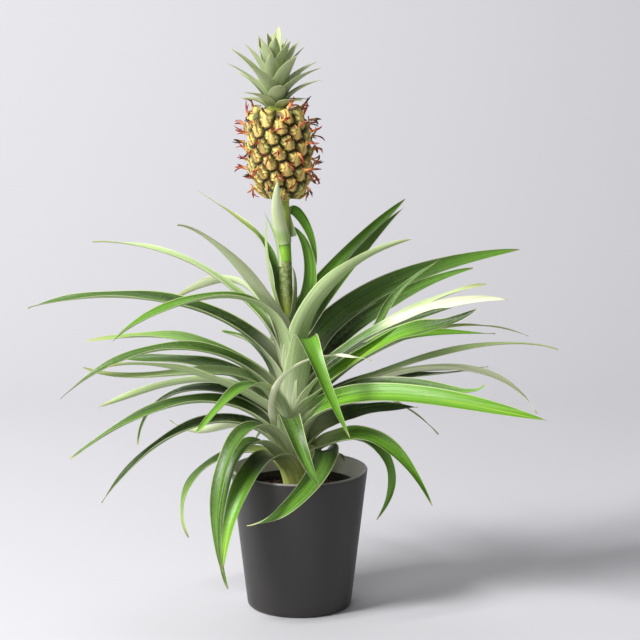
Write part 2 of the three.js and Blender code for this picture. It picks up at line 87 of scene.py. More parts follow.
def close_ends(points):
    """The grid with one more row at each end, where all points lie on the end ring's centre."""
    closed = repeat_ends(points)
    for row in (0, -1):
        closed[..., row, :, :] = points[..., row, :, :].mean(axis=-2, keepdims=True)
    return closed


def signed_volume(points, quads):
    """Volume inside the quads: the sum over their triangles of a . (b x c) / 6."""
    a, b, c, d = (points[quads[:, k]] for k in range(4))
    return np.einsum("ij,ij->", a, np.cross(b, c) + np.cross(c, d)) / 6


def grid_mesh(name, points, attributes, closing=True):
    """A mesh from one grid or an array of grids, facing outward, with doubled points merged.

    attributes holds arrays on the same grid, with three values at each point.
    """
    if closing:
        points = close_ends(points)
        attributes = {key: repeat_ends(values) for key, values in attributes.items()}
    grids = points.reshape((-1,) + points.shape[-3:])
    repeats, rows, columns, _ = grids.shape
    flat = grids.reshape(-1, 3) * MM
    n, i, j = np.meshgrid(np.arange(repeats), np.arange(rows - 1), np.arange(columns), indexing="ij")
    row, beside = (n * rows + i) * columns, (j + 1) % columns
    quads = grid(row + j, row + beside, row + columns + beside, row + columns + j).reshape(-1, 4)
    if signed_volume(flat, quads) < 0:
        quads = quads[:, ::-1]
    mesh = bpy.data.meshes.new(name)
    mesh.from_pydata(flat, [], quads)
    for key, values in attributes.items():
        mesh.attributes.new(key, "FLOAT_VECTOR", "POINT").data.foreach_set("vector", values.ravel())
    work = bmesh.new()
    work.from_mesh(mesh)
    bmesh.ops.remove_doubles(work, verts=work.verts, dist=MERGE_DISTANCE)
    work.to_mesh(mesh)
    work.free()
    return mesh


def add_object(name, data):
    """A new object in the scene."""
    made = bpy.data.objects.new(name, data)
    bpy.context.scene.collection.objects.link(made)
    return made


def make_piece(name, points, material, nodes, attributes=None, closing=True):
    """One smooth piece from a grid, or an array of grids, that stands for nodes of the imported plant."""
    mesh = grid_mesh(name, points, attributes or {}, closing)
    mesh.shade_smooth()
    mesh.set_sharp_from_angle(angle=SHARP_ANGLE)
    mesh.materials.append(material)
    piece = add_object(name, mesh)
    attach(piece, "root")
    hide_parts(*nodes)
    return piece


# %% [markdown]
# ## Small helpers for shapes
#
# A smooth step eases from one form into another. The repeatable random numbers come from the same
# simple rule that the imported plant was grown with, so the fruit's dry bracts and the crown's leaves
# end where its solids do. Everything grows from one line that leans gently to the left, so its
# formula is written once: a cubic of the height above the peat.

# %% Easing, random draws, directions and the stem's line
GOLDEN_ANGLE = math.pi * (3 - math.sqrt(5))
UP = np.array([0.0, 0.0, 1.0])
STEM_FOOT = 96
STEM_TOP = 290
SEEDS = {"lumps": 5, "skin": 7, "crumbs": 11, "fibres": 23, "scales": 30, "ribbons": 31, "folds": 32,
         "crown": 61, "long leaves": 100, "small leaves": 300}


def smooth_step(low, high, x):
    """0 below low, 1 above high, and 3 s^2 - 2 s^3 of the share s in between."""
    s = np.clip((x - low) / (high - low), 0, 1)
    return s * s * (3 - 2 * s)


def unit(vectors):
    """The vectors at length one."""
    return vectors / np.maximum(np.linalg.norm(vectors, axis=-1, keepdims=True), 1e-9)


def draws_for(kind, number=0):
    """A source of random draws that gives the same numbers each run, for one kind of thing."""
    return np.random.default_rng(SEEDS[kind] + number)


def grown_draws(count, seed=20240611):
    """Random numbers from 0 to 1: the seed is multiplied by 1664525, plus 1013904223, modulo 2^32."""
    values = []
    for _ in range(count):
        seed = (seed * 1664525 + 1013904223) % 2**32
        values.append(seed / 2**32)
    return np.array(values)


def stem_axis(height):
    """The middle of the stem at a height: x is a cubic of the height above 100 mm, and y is 0."""
    s = np.asarray(height, float) - 100
    return grid((-0.114 + (0.00039 - 0.0000006 * s) * s) * s, 0.0, height)


def stem_radius(height):
    """The stem tapers evenly from 12.5 mm at the peat to 8 mm at its top."""
    return np.interp(height, [100, STEM_TOP], [12.5, 8.0])


# %% [markdown]
# ## Building materials from nodes
#
# Materials are wired by code. Two small classes keep that readable: one adds nodes to any tree and
# feeds their inputs with numbers, colours or other nodes' outputs, and the other holds a material.

# %% Node helpers
def colour(red, green, blue):
    """A colour given in display values from 0 to 255, as the linear colour that shaders use."""
    display = np.array([red, green, blue]) / 255
    linear = np.where(display <= 0.04045, display / 12.92, ((display + 0.055) / 1.055) ** 2.4)
    return (*linear.tolist(), 1.0)


class Wiring:
    """A node tree, with short ways to add the nodes that are used most."""

    def __init__(self, tree):
        self.tree = tree

    def add(self, kind, inputs=None, **settings):
        """The outputs of a new node. Its inputs are numbers, display colours or other outputs."""
        made = self.tree.nodes.new("ShaderNode" + kind)
        for key, value in settings.items():
            setattr(made, key, value)
        for key, value in (inputs or {}).items():
            if isinstance(value, bpy.types.NodeSocket):
                self.tree.links.new(value, made.inputs[key])
            else:
                made.inputs[key].default_value = colour(*value) if isinstance(value, tuple) else value
        return made.outputs

    def times(self, a, b, plus=0.0):
        """a b + plus."""
        return self.add("Math", {0: a, 1: b, 2: plus}, operation="MULTIPLY_ADD")[0]

    def step(self, value, low, high, new_low=0.0, new_high=1.0):
        """A smooth step of a value from one range to another."""
        ends = {"From Min": low, "From Max": high, "To Min": new_low, "To Max": new_high}
        return self.add("MapRange", {"Value": value, **ends}, interpolation_type="SMOOTHSTEP")[0]

    def mix(self, share, a, b):
        """Colour a where share is 0 and colour b where it is 1."""
        return self.add("Mix", {0: share, 6: a, 7: b}, data_type="RGBA")[2]

    def paint(self, under, *layers):
        """Lays colours over one another. Each layer is its share and its colour."""
        for share, over in layers:
            under = self.mix(share, under, over)
        return under

    def noise(self, place, scale, detail, roughness=0.5):
        """Plain noise at a place."""
        inputs = {"Vector": place, "Scale": scale, "Detail": detail, "Roughness": roughness}
        return self.add("TexNoise", inputs)[0]

    def place(self):
        """Where a point lies in the object, in metres."""
        return self.add("TexCoord")["Object"]

    def height(self):
        """How high a point lies, in metres."""
        return self.add("SeparateXYZ", {0: self.place()})[2]

    def read(self, name):
        """The X, Y and Z of an attribute of the mesh, and the whole vector."""
        vector = self.add("Attribute", attribute_name=name)["Vector"]
        return (*self.add("SeparateXYZ", {0: vector}), vector)

    def fibres(self, place, fineness, stretch):
        """The fibre and the patch of the shared group."""
        inputs = {"Place": place, "Fineness": fineness, "Stretch": stretch}
        return self.add("Group", inputs, node_tree=FIBRES)

    def speckle(self, place, scale, limit):
        """The spots of the shared group."""
        return self.add("Group", {"Place": place, "Scale": scale, "Limit": limit}, node_tree=SPECKLE)[0]


class Finish(Wiring):
    """A material that starts as one Principled shader, with some of its sockets set."""

    def __init__(self, name, **sockets):
        self.material = bpy.data.materials.new(name)
        self.material.use_nodes = True
        super().__init__(self.material.node_tree)
        self.tree.nodes.clear()
        self.shader = self.tree.nodes.new("ShaderNodeBsdfPrincipled")
        self.output = self.tree.nodes.new("ShaderNodeOutputMaterial")
        self.tree.links.new(self.shader.outputs[0], self.output.inputs[0])
        for key, value in sockets.items():
            self.shader.inputs[key.replace("_", " ")].default_value = value

    def done(self, base, height, strength, distance, roughness=None):
        """The material, when its colour, the bump of a height and perhaps its roughness are fed."""
        bump = self.add("Bump", {"Height": height, "Strength": strength, "Distance": distance})[0]
        for key, value in (("Base Color", base), ("Normal", bump), ("Roughness", roughness)):
            if value is not None:
                self.tree.links.new(value, self.shader.inputs[key])
        return self.material


# %% [markdown]
# ## Effects that several finishes share
#
# Leaves, stalk, bracts and crown all have fine fibres that run along them, and most surfaces carry
# some fine speckle: scurf on a leaf, grain in the ceramic, dust on peat. Each effect is one node
# group with named inputs, and every material places it with its own values.

# %% The shared node groups
def new_group(name, outputs, **numbers):
    """An empty node group that takes a place and some numbers: its wiring and its two ends."""
    tree = bpy.data.node_groups.new(name, "ShaderNodeTree")
    tree.interface.new_socket("Place", in_out="INPUT", socket_type="NodeSocketVector")
    for key, value in numbers.items():
        socket = tree.interface.new_socket(key, in_out="INPUT", socket_type="NodeSocketFloat")
        socket.default_value = value
    for key in outputs:
        tree.interface.new_socket(key, in_out="OUTPUT", socket_type="NodeSocketFloat")
    given, out = (tree.nodes.new("NodeGroup" + end) for end in ("Input", "Output"))
    return Wiring(tree), given.outputs, out.inputs


def make_fibres_group():
    """Noise that is stretched along a strip: its place is (across, along, side) in millimetres."""
    net, given, out = new_group("fibres", ["Fibre", "Patch"], Fineness=1.0, Stretch=0.02)
    along = net.times(given["Fineness"], given["Stretch"])
    scale = net.add("CombineXYZ", {0: given["Fineness"], 1: along, 2: 7.0})[0]
    place = net.add("VectorMath", {0: given["Place"], 1: scale}, operation="MULTIPLY")[0]
    net.tree.links.new(net.step(net.noise(place, 1.0, 4.0, 0.6), 0.3, 0.7), out["Fibre"])
    net.tree.links.new(net.step(net.noise(place, 0.22, 2.0), 0.3, 0.7), out["Patch"])
    return net.tree


def make_speckle_group():
    """Small spots where fine noise passes a limit, thinned out by a wider noise."""
    net, given, out = new_group("speckle", ["Spots"], Scale=1.0, Limit=0.6)
    fine = net.noise(given["Place"], given["Scale"], 2.0)
    wide = net.noise(given["Place"], net.times(given["Scale"], 0.13), 1.0)
    spots = net.step(fine, given["Limit"], net.times(given["Limit"], 1.0, 0.12))
    net.tree.links.new(net.times(spots, net.step(wide, 0.35, 0.65)), out["Spots"])
    return net.tree


FIBRES = make_fibres_group()
SPECKLE = make_speckle_group()
print("Shared effects:", [group.name for group in bpy.data.node_groups])

# %% [markdown]
# ## The camera
#
# The camera stands where the photographer's stood: two and a half metres in front of the plant, a
# little above it, looking about eleven degrees down through a long lens. With the long lens the
# planter's sides hardly converge, as in a catalogue picture.

# %% Camera
CAMERA_PLACE = (0.021, -2.5, 0.789)
CAMERA_PITCH = math.radians(11.18)
PICTURE_WIDTH = 640
FOCAL_LENGTH_IN_PIXELS = 2549


def make_camera():
    """A level camera that is tipped down, with no shift and no depth of field."""
    data = bpy.data.cameras.new("camera")
    data.sensor_width = 36
    data.lens = data.sensor_width * FOCAL_LENGTH_IN_PIXELS / PICTURE_WIDTH
    camera = add_object("camera", data)
    camera.location = CAMERA_PLACE
    camera.rotation_euler = (math.pi / 2 - CAMERA_PITCH, 0, 0)
    bpy.context.scene.camera = camera
    return camera


print("Camera lens:", round(make_camera().data.lens, 1), "mm")

# %% [markdown]
# ## Planter and nursery pot
#
# Both pots are turned shapes: a profile goes once round the wall's section, and then round the axis.
# The planter is matt ceramic with a fine grain, a rounded rim and a softly rounded foot. The nursery
# pot inside is thin black plastic, of which only the rim and a little wall show.

# %% Turned shapes
def round_angles(columns):
    """Angles of points that go once round."""
    return np.linspace(0, 2 * math.pi, columns, endpoint=False)


def arc(radius, height, size, start, end, steps):
    """Points (radius, height) of an arc, with its angles in degrees from start to end."""
    angles = np.radians(np.linspace(start, end, steps))
    return grid(radius + size * np.cos(angles), height + size * np.sin(angles))


def straight(start, end, steps):
    """Points on a line, without its ends."""
    return np.linspace(start, end, steps + 2)[1:-1]


def turned(profile, columns, centres=0.0):
    """A profile of (radius, height) carried once round upright axes through the centres' x."""
    angles = round_angles(columns)
    radius, height = profile[:, 0, None], profile[:, 1, None]
    return grid(radius * np.cos(angles) + np.reshape(centres, (-1, 1)), radius * np.sin(angles), height)


# %% The planter's profile and finish
PLANTER_HEIGHT = 143
PLANTER_RIM_RADIUS = 69
PLANTER_CORNER_RADIUS = 53
PLANTER_FOOT_RADIUS = 49
PLANTER_WALL = 3.8
PLANTER_FLOOR = 6
PLANTER_COLUMNS = 160
# Between these heights the rim is painted paler: a painted highlight along its lip.
RIM_HIGHLIGHT_START = PLANTER_HEIGHT - 2.0
RIM_HIGHLIGHT_END = PLANTER_HEIGHT - 0.3


def planter_profile():
    """From the axis under the foot, up the outside, over the round rim and down the inside."""
    half_wall = PLANTER_WALL / 2
    foot = arc(PLANTER_FOOT_RADIUS - 0.6, 4.6, 4.6, -90, -8, 8)
    rim_centre = (PLANTER_RIM_RADIUS - half_wall, PLANTER_HEIGHT - half_wall)
    fillet = arc(PLANTER_CORNER_RADIUS - PLANTER_WALL - 5, PLANTER_FLOOR + 5, 5, 0, -90, 8)
    return np.concatenate([
        [[0, 0], [PLANTER_FOOT_RADIUS * 0.6, 0], [PLANTER_FOOT_RADIUS - 2, 0]],
        foot,
        straight(foot[-1], (PLANTER_RIM_RADIUS, rim_centre[1]), 30),
        arc(*rim_centre, half_wall, 0, 180, 14),
        straight((PLANTER_RIM_RADIUS - PLANTER_WALL, rim_centre[1]), fillet[0], 24),
        fillet,
        [[0, PLANTER_FLOOR]],
    ])


def ceramic_material():
    """Dark grey matt ceramic, fine grain in colour and height; painted highlight on the rim, painted
    light on the inside.
    """
    net = Finish("matt ceramic", Sheen_Weight=0.08, Sheen_Roughness=0.4, Specular_IOR_Level=0.6)
    place = net.place()
    grain = net.noise(place, 900.0, 3.0)
    rim_highlight = net.step(net.height(), RIM_HIGHLIGHT_START * MM, RIM_HIGHLIGHT_END * MM, 0, 0.9)
    shade = net.paint(
        (31, 29, 27),
        (net.step(net.noise(place, 14.0, 3.0), 0.3, 0.7), (36, 33, 31)),
        (net.step(grain, 0.45, 0.75, 0, 0.3), (58, 56, 55)),
        # The inside is painted far paler than the outside: painted light where the lamp reaches over the
        # rim.
        (net.read("inside")[0], (228, 224, 222)),
        (rim_highlight, (148, 144, 142)))
    return net.done(shade, grain, 0.12, 0.0004, net.step(grain, 0.3, 0.7, 0.42, 0.56))


profile = planter_profile()
points = turned(profile, PLANTER_COLUMNS)
# Points on the inner wall and floor, which the finish paints paler as painted light.
past_the_rim = np.arange(len(profile)) > len(profile) // 2
inside = past_the_rim & (profile[:, 0] < PLANTER_RIM_RADIUS - 0.9 * PLANTER_WALL)
make_piece("matt_planter", points, ceramic_material(), ["planter"],
           {"inside": on_grid(points, inside[:, None], inside[:, None], inside[:, None])})
print("The planter's profile has", len(profile), "points")

# %% The nursery pot
POT_RIM_HEIGHT = 126
POT_RIM_RADIUS = 58
POT_BASE_RADIUS = 44
POT_WALL = 1.2
POT_LIP = 1.6
POT_LIP_DEPTH = 4
POT_BOTTOM = 6.3


def nursery_pot_profile():
    """A thin tapered wall with a rolled lip."""
    inner_rim = POT_RIM_RADIUS - POT_WALL
    lip_foot = POT_RIM_HEIGHT - POT_LIP_DEPTH
    return np.concatenate([
        [[0, POT_BOTTOM], [POT_BASE_RADIUS - 2, POT_BOTTOM], [POT_BASE_RADIUS, POT_BOTTOM + 2]],
        straight((POT_BASE_RADIUS, POT_BOTTOM + 2), (POT_RIM_RADIUS, lip_foot), 12),
        [[POT_RIM_RADIUS, lip_foot], [POT_RIM_RADIUS + POT_LIP, lip_foot]],
        arc(POT_RIM_RADIUS + POT_LIP - 1.0, POT_RIM_HEIGHT - 1.0, 1.0, 0, 90, 6),
        [[inner_rim + 0.4, POT_RIM_HEIGHT], [inner_rim, POT_RIM_HEIGHT - 0.5]],
        straight((inner_rim, POT_RIM_HEIGHT - 0.5), (POT_BASE_RADIUS - POT_WALL, POT_BOTTOM + 3.2), 12),
        [[POT_BASE_RADIUS - POT_WALL - 2, POT_BOTTOM + POT_WALL], [0, POT_BOTTOM + POT_WALL]],
    ])


def pot_plastic_material():
    """Black moulded plastic, dusted with peat where it is handled."""
    net = Finish("black pot plastic", Roughness=0.42)
    dust = net.speckle(net.place(), 260.0, 0.5)
    shade = net.mix(dust, (24, 24, 25), (72, 56, 48))
    return net.done(shade, dust, 0.3, 0.0004, net.step(dust, 0, 1, 0.4, 0.85))


nursery_pot = make_piece("nursery_pot", turned(nursery_pot_profile(), 128), pot_plastic_material(),
                         ["grow_pot"])

# %% Drain holes in the nursery pot
DRAIN_HOLES = 6
DRAIN_HOLE_RADIUS = 4
DRAIN_RING_RADIUS = 30
DRILL_REACH = 3


def drill(piece, points):
    """Cuts closed grids out of a piece with an exact Boolean, and keeps the result as its mesh."""
    rods = add_object("drill", grid_mesh("drill", points, {}))
    cut = piece.modifiers.new("cut", "BOOLEAN")
    cut.operation, cut.solver, cut.object = "DIFFERENCE", "EXACT", rods
    evaluated = piece.evaluated_get(bpy.context.evaluated_depsgraph_get())
    drilled = bpy.data.meshes.new_from_object(evaluated)
    piece.modifiers.remove(cut)
    piece.data = drilled
    bpy.data.objects.remove(rods)


def drain_hole_points():
    """Upright rods on a ring round the axis, through the pot's floor."""
    turn = round_angles(DRAIN_HOLES)[:, None, None]
    around = round_angles(24)
    height = np.array([[POT_BOTTOM - DRILL_REACH], [POT_BOTTOM + DRILL_REACH]])
    x = DRAIN_RING_RADIUS * np.cos(turn) + DRAIN_HOLE_RADIUS * np.cos(around)
    y = DRAIN_RING_RADIUS * np.sin(turn) + DRAIN_HOLE_RADIUS * np.sin(around)
    return grid(x, y, height)


drill(nursery_pot, drain_hole_points())
nursery_pot.data.set_sharp_from_angle(angle=SHARP_ANGLE)
print("The nursery pot has", DRAIN_HOLES, "drain holes and", len(nursery_pot.data.polygons), "faces")

# %% [markdown]
# ## Peat
#
# Peat is a loose, dark, fibrous crumb. Its surface is a disc with lumps of several sizes, and on top
# of it lie separate crumbs, each a small stone-like ball pushed out of shape, and a few fibres.

# %% The bed of peat
SOIL_HEIGHT = 120
SOIL_EDGE = 55.0
PEAT_BOTTOM = 7.8
PEAT_RINGS = 52
PEAT_COLUMNS = 180
STEM_CLEARANCE = 0.3
PIT_BOTTOM = STEM_FOOT - STEM_CLEARANCE
LUMP_SIZES = (26, 13, 6.5, 3.2)


def lumps(x, y):
    """Smooth lumps: for each size, a product of two sines with drawn directions and phases."""
    draw = draws_for("lumps")
    total = np.zeros(np.broadcast(x, y).shape)
    for size in LUMP_SIZES:
        turn, phase_a, phase_b = draw.uniform(0, 2 * math.pi, 3)
        along = (x * math.cos(turn) + y * math.sin(turn)) * 2 * math.pi / size
        beside = (y * math.cos(turn) - x * math.sin(turn)) * 2 * math.pi / size
        height = 0.6 * (size / LUMP_SIZES[0]) ** 0.7
        total += height * np.sin(along + phase_a) * np.sin(1.2 * beside + phase_b)
    return total


def peat_height(x, y):
    """The top of the peat: a low crown round the stem with lumps on it."""
    inward = 1 - (np.hypot(x, y) / SOIL_EDGE) ** 2
    return SOIL_HEIGHT - 2.2 + 3 * inward + 1.8 * lumps(x, y) * np.clip(4 * inward, 0, 1)


def peat_points():
    """Underside, wall, lumpy top, and the pit in which the stem stands."""
    pit_top = stem_radius(SOIL_HEIGHT) + STEM_CLEARANCE
    underside = grid([0, 20, 39, 43.4, SOIL_EDGE - 0.5], [PEAT_BOTTOM] * 3 + [11.8, 114])
    under = turned(underside, PEAT_COLUMNS)
    radii = np.linspace(SOIL_EDGE, pit_top, PEAT_RINGS)
    lean = stem_axis(SOIL_HEIGHT)[0] * (SOIL_EDGE - radii) / (SOIL_EDGE - pit_top)
    top = turned(grid(radii, 0.0), PEAT_COLUMNS, lean)
    top[..., 2] = peat_height(top[..., 0], top[..., 1])
    depths = np.append(np.linspace(SOIL_HEIGHT - 4, PIT_BOTTOM, 6), [PIT_BOTTOM, PIT_BOTTOM])
    radii = np.append(stem_radius(depths[:6]) + STEM_CLEARANCE, [6, 0])
    pit = turned(grid(radii, depths), PEAT_COLUMNS, stem_axis(depths)[:, 0])
    return np.concatenate([under, top, pit])


def peat_material():
    """Dark brown crumb with reddish and pale fibres, quite rough."""
    net = Finish("damp peat", Roughness=0.9)
    place = net.place()
    crumb = net.noise(place, 420.0, 6.0, 0.7)
    shade = net.paint((22, 14, 12), (net.step(crumb, 0.35, 0.7), (66, 42, 34)),
                      (net.speckle(place, 300.0, 0.52), (104, 58, 44)),
                      (net.speckle(place, 520.0, 0.62), (120, 98, 80)))
    return net.done(shade, crumb, 0.9, 0.0012)


PEAT = peat_material()
peat_bed = make_piece("peat_bed", peat_points(), PEAT, ["soil"])
print("The peat goes down to", PEAT_BOTTOM, "mm")

# %% Crumbs and fibres on the peat
CRUMBS = 420
PEAT_FIBRES = 90


def scatter(draw, count, nearest, farthest):
    """The x and y of places that are spread evenly between two shares of the bed's area."""
    radius = SOIL_EDGE * np.sqrt(draw.uniform(nearest, farthest, count))
    turn = draw.uniform(0, 2 * math.pi, count)
    return radius * np.cos(turn), radius * np.sin(turn)


def crumb_points():
    """Balls of 5 by 7 points, each stretched by its own draws and set on the bed."""
    draw = draws_for("crumbs")
    x, y = scatter(draw, CRUMBS, 0.06, 0.97)
    size = 0.5 + 1.5 * draw.uniform(0, 1, CRUMBS) ** 3
    middle = grid(x, y, peat_height(x, y) + 0.3 * size)
    polar, around = np.linspace(0, math.pi, 5)[:, None], round_angles(7)
    ball = grid(np.sin(polar) * np.cos(around), np.sin(polar) * np.sin(around), np.cos(polar))
    stretch = draw.uniform(0.6, 1.35, (CRUMBS, 1, 1, 3))
    bump = 0.25 * np.sin(4 * polar + 3 * around)[..., None] * draw.uniform(-1, 1, (CRUMBS, 1, 1, 1))
    return middle[:, None, None, :] + ball * (1 + bump) * stretch * size[:, None, None, None]


def fibre_points():
    """Thin bent threads of 7 rings with 4 points each."""
    draw = draws_for("fibres")
    x, y = scatter(draw, PEAT_FIBRES, 0.08, 0.9)
    heading = draw.uniform(0, 2 * math.pi, (PEAT_FIBRES, 1))
    s = np.linspace(-0.5, 0.5, 7)
    along = draw.uniform(5, 13, (PEAT_FIBRES, 1)) * s
    direction = heading + draw.uniform(-0.8, 0.8, (PEAT_FIBRES, 1)) * s * 2
    x = x[:, None] + along * np.cos(direction)
    y = y[:, None] + along * np.sin(direction)
    inward = np.minimum(1, (SOIL_EDGE - 1) / np.maximum(np.hypot(x, y), 1e-6))
    x, y = x * inward, y * inward
    line = grid(x, y, peat_height(x, y) + 0.5 + 0.9 * np.cos(s * 5))[:, :, None, :]
    beside, above = np.array([[1, 0, -1, 0], [0, 1, 0, -1]])[..., None] * 0.22
    return line + beside * grid(-np.sin(direction), np.cos(direction), 0.0)[:, :, None, :] + above * UP


make_piece("peat_crumbs", crumb_points(), PEAT, ["soil"], closing=False)
make_piece("peat_fibres", fibre_points(), PEAT, ["soil"])
print("Peat:", len(peat_bed.data.polygons), "faces,", CRUMBS, "crumbs and", PEAT_FIBRES, "fibres")

# %% [markdown]
# ## Leaf finish
#
# A pineapple leaf is deep green and satin above, and silvery below, where fine scurf lies between
# the fibres. Its margins are thin and pale, its base is whitish where it clasps the stem, and its tip
# dries out. A few leaves are striped with cream. One material does all of this. It reads, from the
# mesh, where on the blade a point lies and how the leaf at hand leans between those looks.

# %% The leaf material
def leaf_green(net, tone):
    """From dark green at tone 0 through middle and bright green to lime at 1."""
    return net.paint(
        (13, 28, 6),
        (net.step(tone, 0.0, 0.4), (68, 104, 18)),
        (net.step(tone, 0.35, 0.75), (102, 160, 28)),
        (net.step(tone, 0.7, 1.0), (160, 190, 72)))


def leaf_material():
    """Green above, silvery below, with fibres, pale margins, whitish base and dry tip; painted highlight
    on the midrib, painted shade at the stem.
    """
    net = Finish("pineapple leaf", Specular_IOR_Level=0.42)
    side, place = net.read("blade_place")[2:]
    margin, share, length, _ = net.read("blade_shape")
    tone, silver, cream, _ = net.read("blade_look")
    dry = net.read("blade_age")[0]
    fibre, patch = net.fibres(place, 2.2, 0.01)
    broad = net.fibres(place, 0.7, 0.008)[0]
    scurf = net.speckle(place, 1.9, 0.5)
    mottle = net.speckle(place, 0.5, 0.5)

    shade = tone
    for mark, weight in ((patch, 0.22), (fibre, 0.2), (mottle, -0.06), (broad, 0.14)):
        shade = net.times(mark, weight, shade)
    # A lighter tone towards the midrib is a painted highlight along the channel's fold.
    shade = net.times(shade, 1.0, net.step(margin, 0.0, 0.4, 0.1, 0.0))
    top = net.paint(leaf_green(net, net.times(shade, 1.0, -0.28)),
                    (net.times(silver, net.step(broad, 0.0, 1.0, 0.4, 0.8)), (118, 136, 108)),
                    (net.times(scurf, 0.08), (168, 184, 140)),
                    (net.times(net.speckle(place, 0.28, 0.47), 0.12), (150, 172, 112)))
    lines = net.times(broad, 0.45, net.times(fibre, 0.4))
    under = net.paint((112, 136, 80), (lines, (204, 214, 172)), (net.times(tone, 0.6), (140, 176, 82)),
                      (net.step(tone, 0.05, 0.25, 0.7, 0.0), (62, 88, 36)),
                      (net.times(scurf, 0.35), (190, 196, 168)))
    upper_base = net.mix(lines, (150, 164, 116), (236, 242, 212))
    lower_base = net.mix(lines, (134, 160, 44), (248, 250, 150))
    base = net.mix(net.step(net.height(), 0.13, 0.2), lower_base, upper_base)
    blade = net.paint(
        top, (side, under),
        (net.step(length, 24, 78, 0.9, 0.0), base),
        # Olive over the first 22 mm of each sheath is painted shade where it meets the stem.
        (net.step(length, 0, 22, 0.25, 0.0), (130, 150, 52)),
        (net.times(cream, net.step(broad, 0.0, 0.4, 0.7, 1.0)), (232, 234, 200)),
        (net.step(margin, 0.9, 0.97, 0, 0.75), (202, 214, 158)),
        (net.times(dry, 0.85), (166, 170, 104)),
        (net.step(share, 0.98, 1.0), (176, 166, 112)))
    relief = net.times(broad, 0.5, fibre)
    return net.done(blade, relief, 0.3, 0.0003, net.step(side, 0.0, 1.0, 0.36, 0.6))


LEAF = leaf_material()

# %% [markdown]
# ## Leaf shape
#
# A long leaf is a shallow channel. It wraps round the stem as a sheath, leaves it in a smooth curve,
# arches out under its own weight and narrows to a point. The midrib is given by its root, the places
# a third and two thirds of the way along, and its tip, because that is how it is easiest to follow a
# real leaf. The section turns about the midrib by an angle that changes from root to tip.

# %% A blade along a midrib
SHEATH_DEPTH = 26
SHEATH_ROWS = 18
BLADE_ROWS = 66
WRAP_ANGLE = 1.45
WRAP_START, WRAP_END = 8, 54
FULL_SHEATH_WIDTH = 18
BLADE_ANGLE = math.radians(54)
LEAST_HALF_WIDTH = 0.12
FACE_COLUMNS = 9
ACROSS_FACE = np.sin(np.linspace(-0.5, 0.5, FACE_COLUMNS) * math.pi)
ACROSS_BOTH = np.concatenate([ACROSS_FACE, ACROSS_FACE[::-1]])
FACE_SIDE = np.repeat([0.0, 1.0], FACE_COLUMNS)


def midrib(corners, t):
    """The cubic curve through four corners at t = 0, 1/3, 2/3 and 1."""
    return grid(
        (1 - 3 * t) * (2 - 3 * t) * (1 - t) / 2,
        9 * t * (2 - 3 * t) * (1 - t) / 2,
        9 * t * (3 * t - 1) * (1 - t) / 2,
        t * (3 * t - 1) * (3 * t - 2) / 2,
    ) @ corners


def hermite(start, start_slope, end, end_slope, s):
    """The cubic that leaves start along start_slope and reaches end along end_slope."""
    s = s[:, None]
    return ((2 * s**3 - 3 * s**2 + 1) * start + (s**3 - 2 * s**2 + s) * start_slope
            + (3 * s**2 - 2 * s**3) * end + (s**3 - s**2) * end_slope)


def blade_half_width(width, t):
    """Half of width times (1 - t^2.4)^0.8, wider by up to 40 percent near the sheath."""
    taper = np.clip(1 - t**2.4, 0, 1) ** 0.8
    return 0.5 * width * taper * (1 + 0.4 * np.exp(-((t / 0.14) ** 2)))


def run_length(path):
    """Distance along a path up to each of its points."""
    return np.concatenate([[0], np.cumsum(np.linalg.norm(np.diff(path, axis=0), axis=1))])


def leaf_heading(root_height, third, two_thirds):
    """The level direction in which a leaf leaves the stem."""
    return unit((0.5 * (np.array(third, float) + two_thirds) - stem_axis(root_height)) * [1, 1, 0])


def across_path(path, heading, roll):
    """At each row the level direction square to the path, turned about the path by the roll."""
    along = unit(np.gradient(path, axis=0))
    across = np.cross(UP, heading)
    across = unit(across - along * (along @ across)[:, None])
    return across * np.cos(roll)[:, None] + np.cross(along, across) * np.sin(roll)[:, None]


def sweep_blade(path, across, half, bend, thickness, waves):
    """Carries a channel section along a path.

    The section is an arc that turns by the angle bend on each side of the midrib and is 2 half wide,
    so its radius is half / bend. Half of the thickness lies on each side of it, less at the margins.
    """
    along = unit(np.gradient(path, axis=0))
    across = unit(across - along * np.einsum("ij,ij->i", across, along)[:, None])
    across, above = across[:, None, :], np.cross(along, across)[:, None, :]
    u = ACROSS_FACE
    radius = (half / bend)[:, None]
    tilt = (u * bend[:, None])[..., None]
    sideways = radius[..., None] * np.sin(tilt)
    lift = radius[..., None] * (1 - np.cos(tilt)) + (waves[:, None] * u * np.abs(u))[..., None]
    middle = path[:, None, :] + sideways * across + lift * above
    depth = (0.5 * thickness[:, None] * (1 - 0.72 * u**4))[..., None]
    out = depth * (np.cos(tilt) * above - np.sin(tilt) * across)
    return both_faces(middle + out, middle - out)


def blade_attributes(points, half, share, length, look, draw):
    """Where each point lies on the blade, and the leaf's own look, on the same grid as its points."""
    tone_root, tone_tip, silver, cream, cream_from, dry_from = look
    share, length, half = share[:, None], length[:, None], half[:, None]
    tone = tone_root + (tone_tip - tone_root) * smooth_step(0.15, 0.95, share)
    tone = tone + draw.uniform(-0.05, 0.05)
    creamy = cream * smooth_step(cream_from, cream_from + 0.15, share)
    shift = draw.uniform(0, 500, 2)
    return {
        "blade_place": on_grid(points, ACROSS_BOTH * half + shift[0], length + shift[1], FACE_SIDE),
        "blade_shape": on_grid(points, np.abs(ACROSS_BOTH), share, length),
        "blade_look": on_grid(points, tone, silver, creamy),
        "blade_age": on_grid(points, smooth_step(dry_from, 1.0, share), 0.0, 0.0),
    }


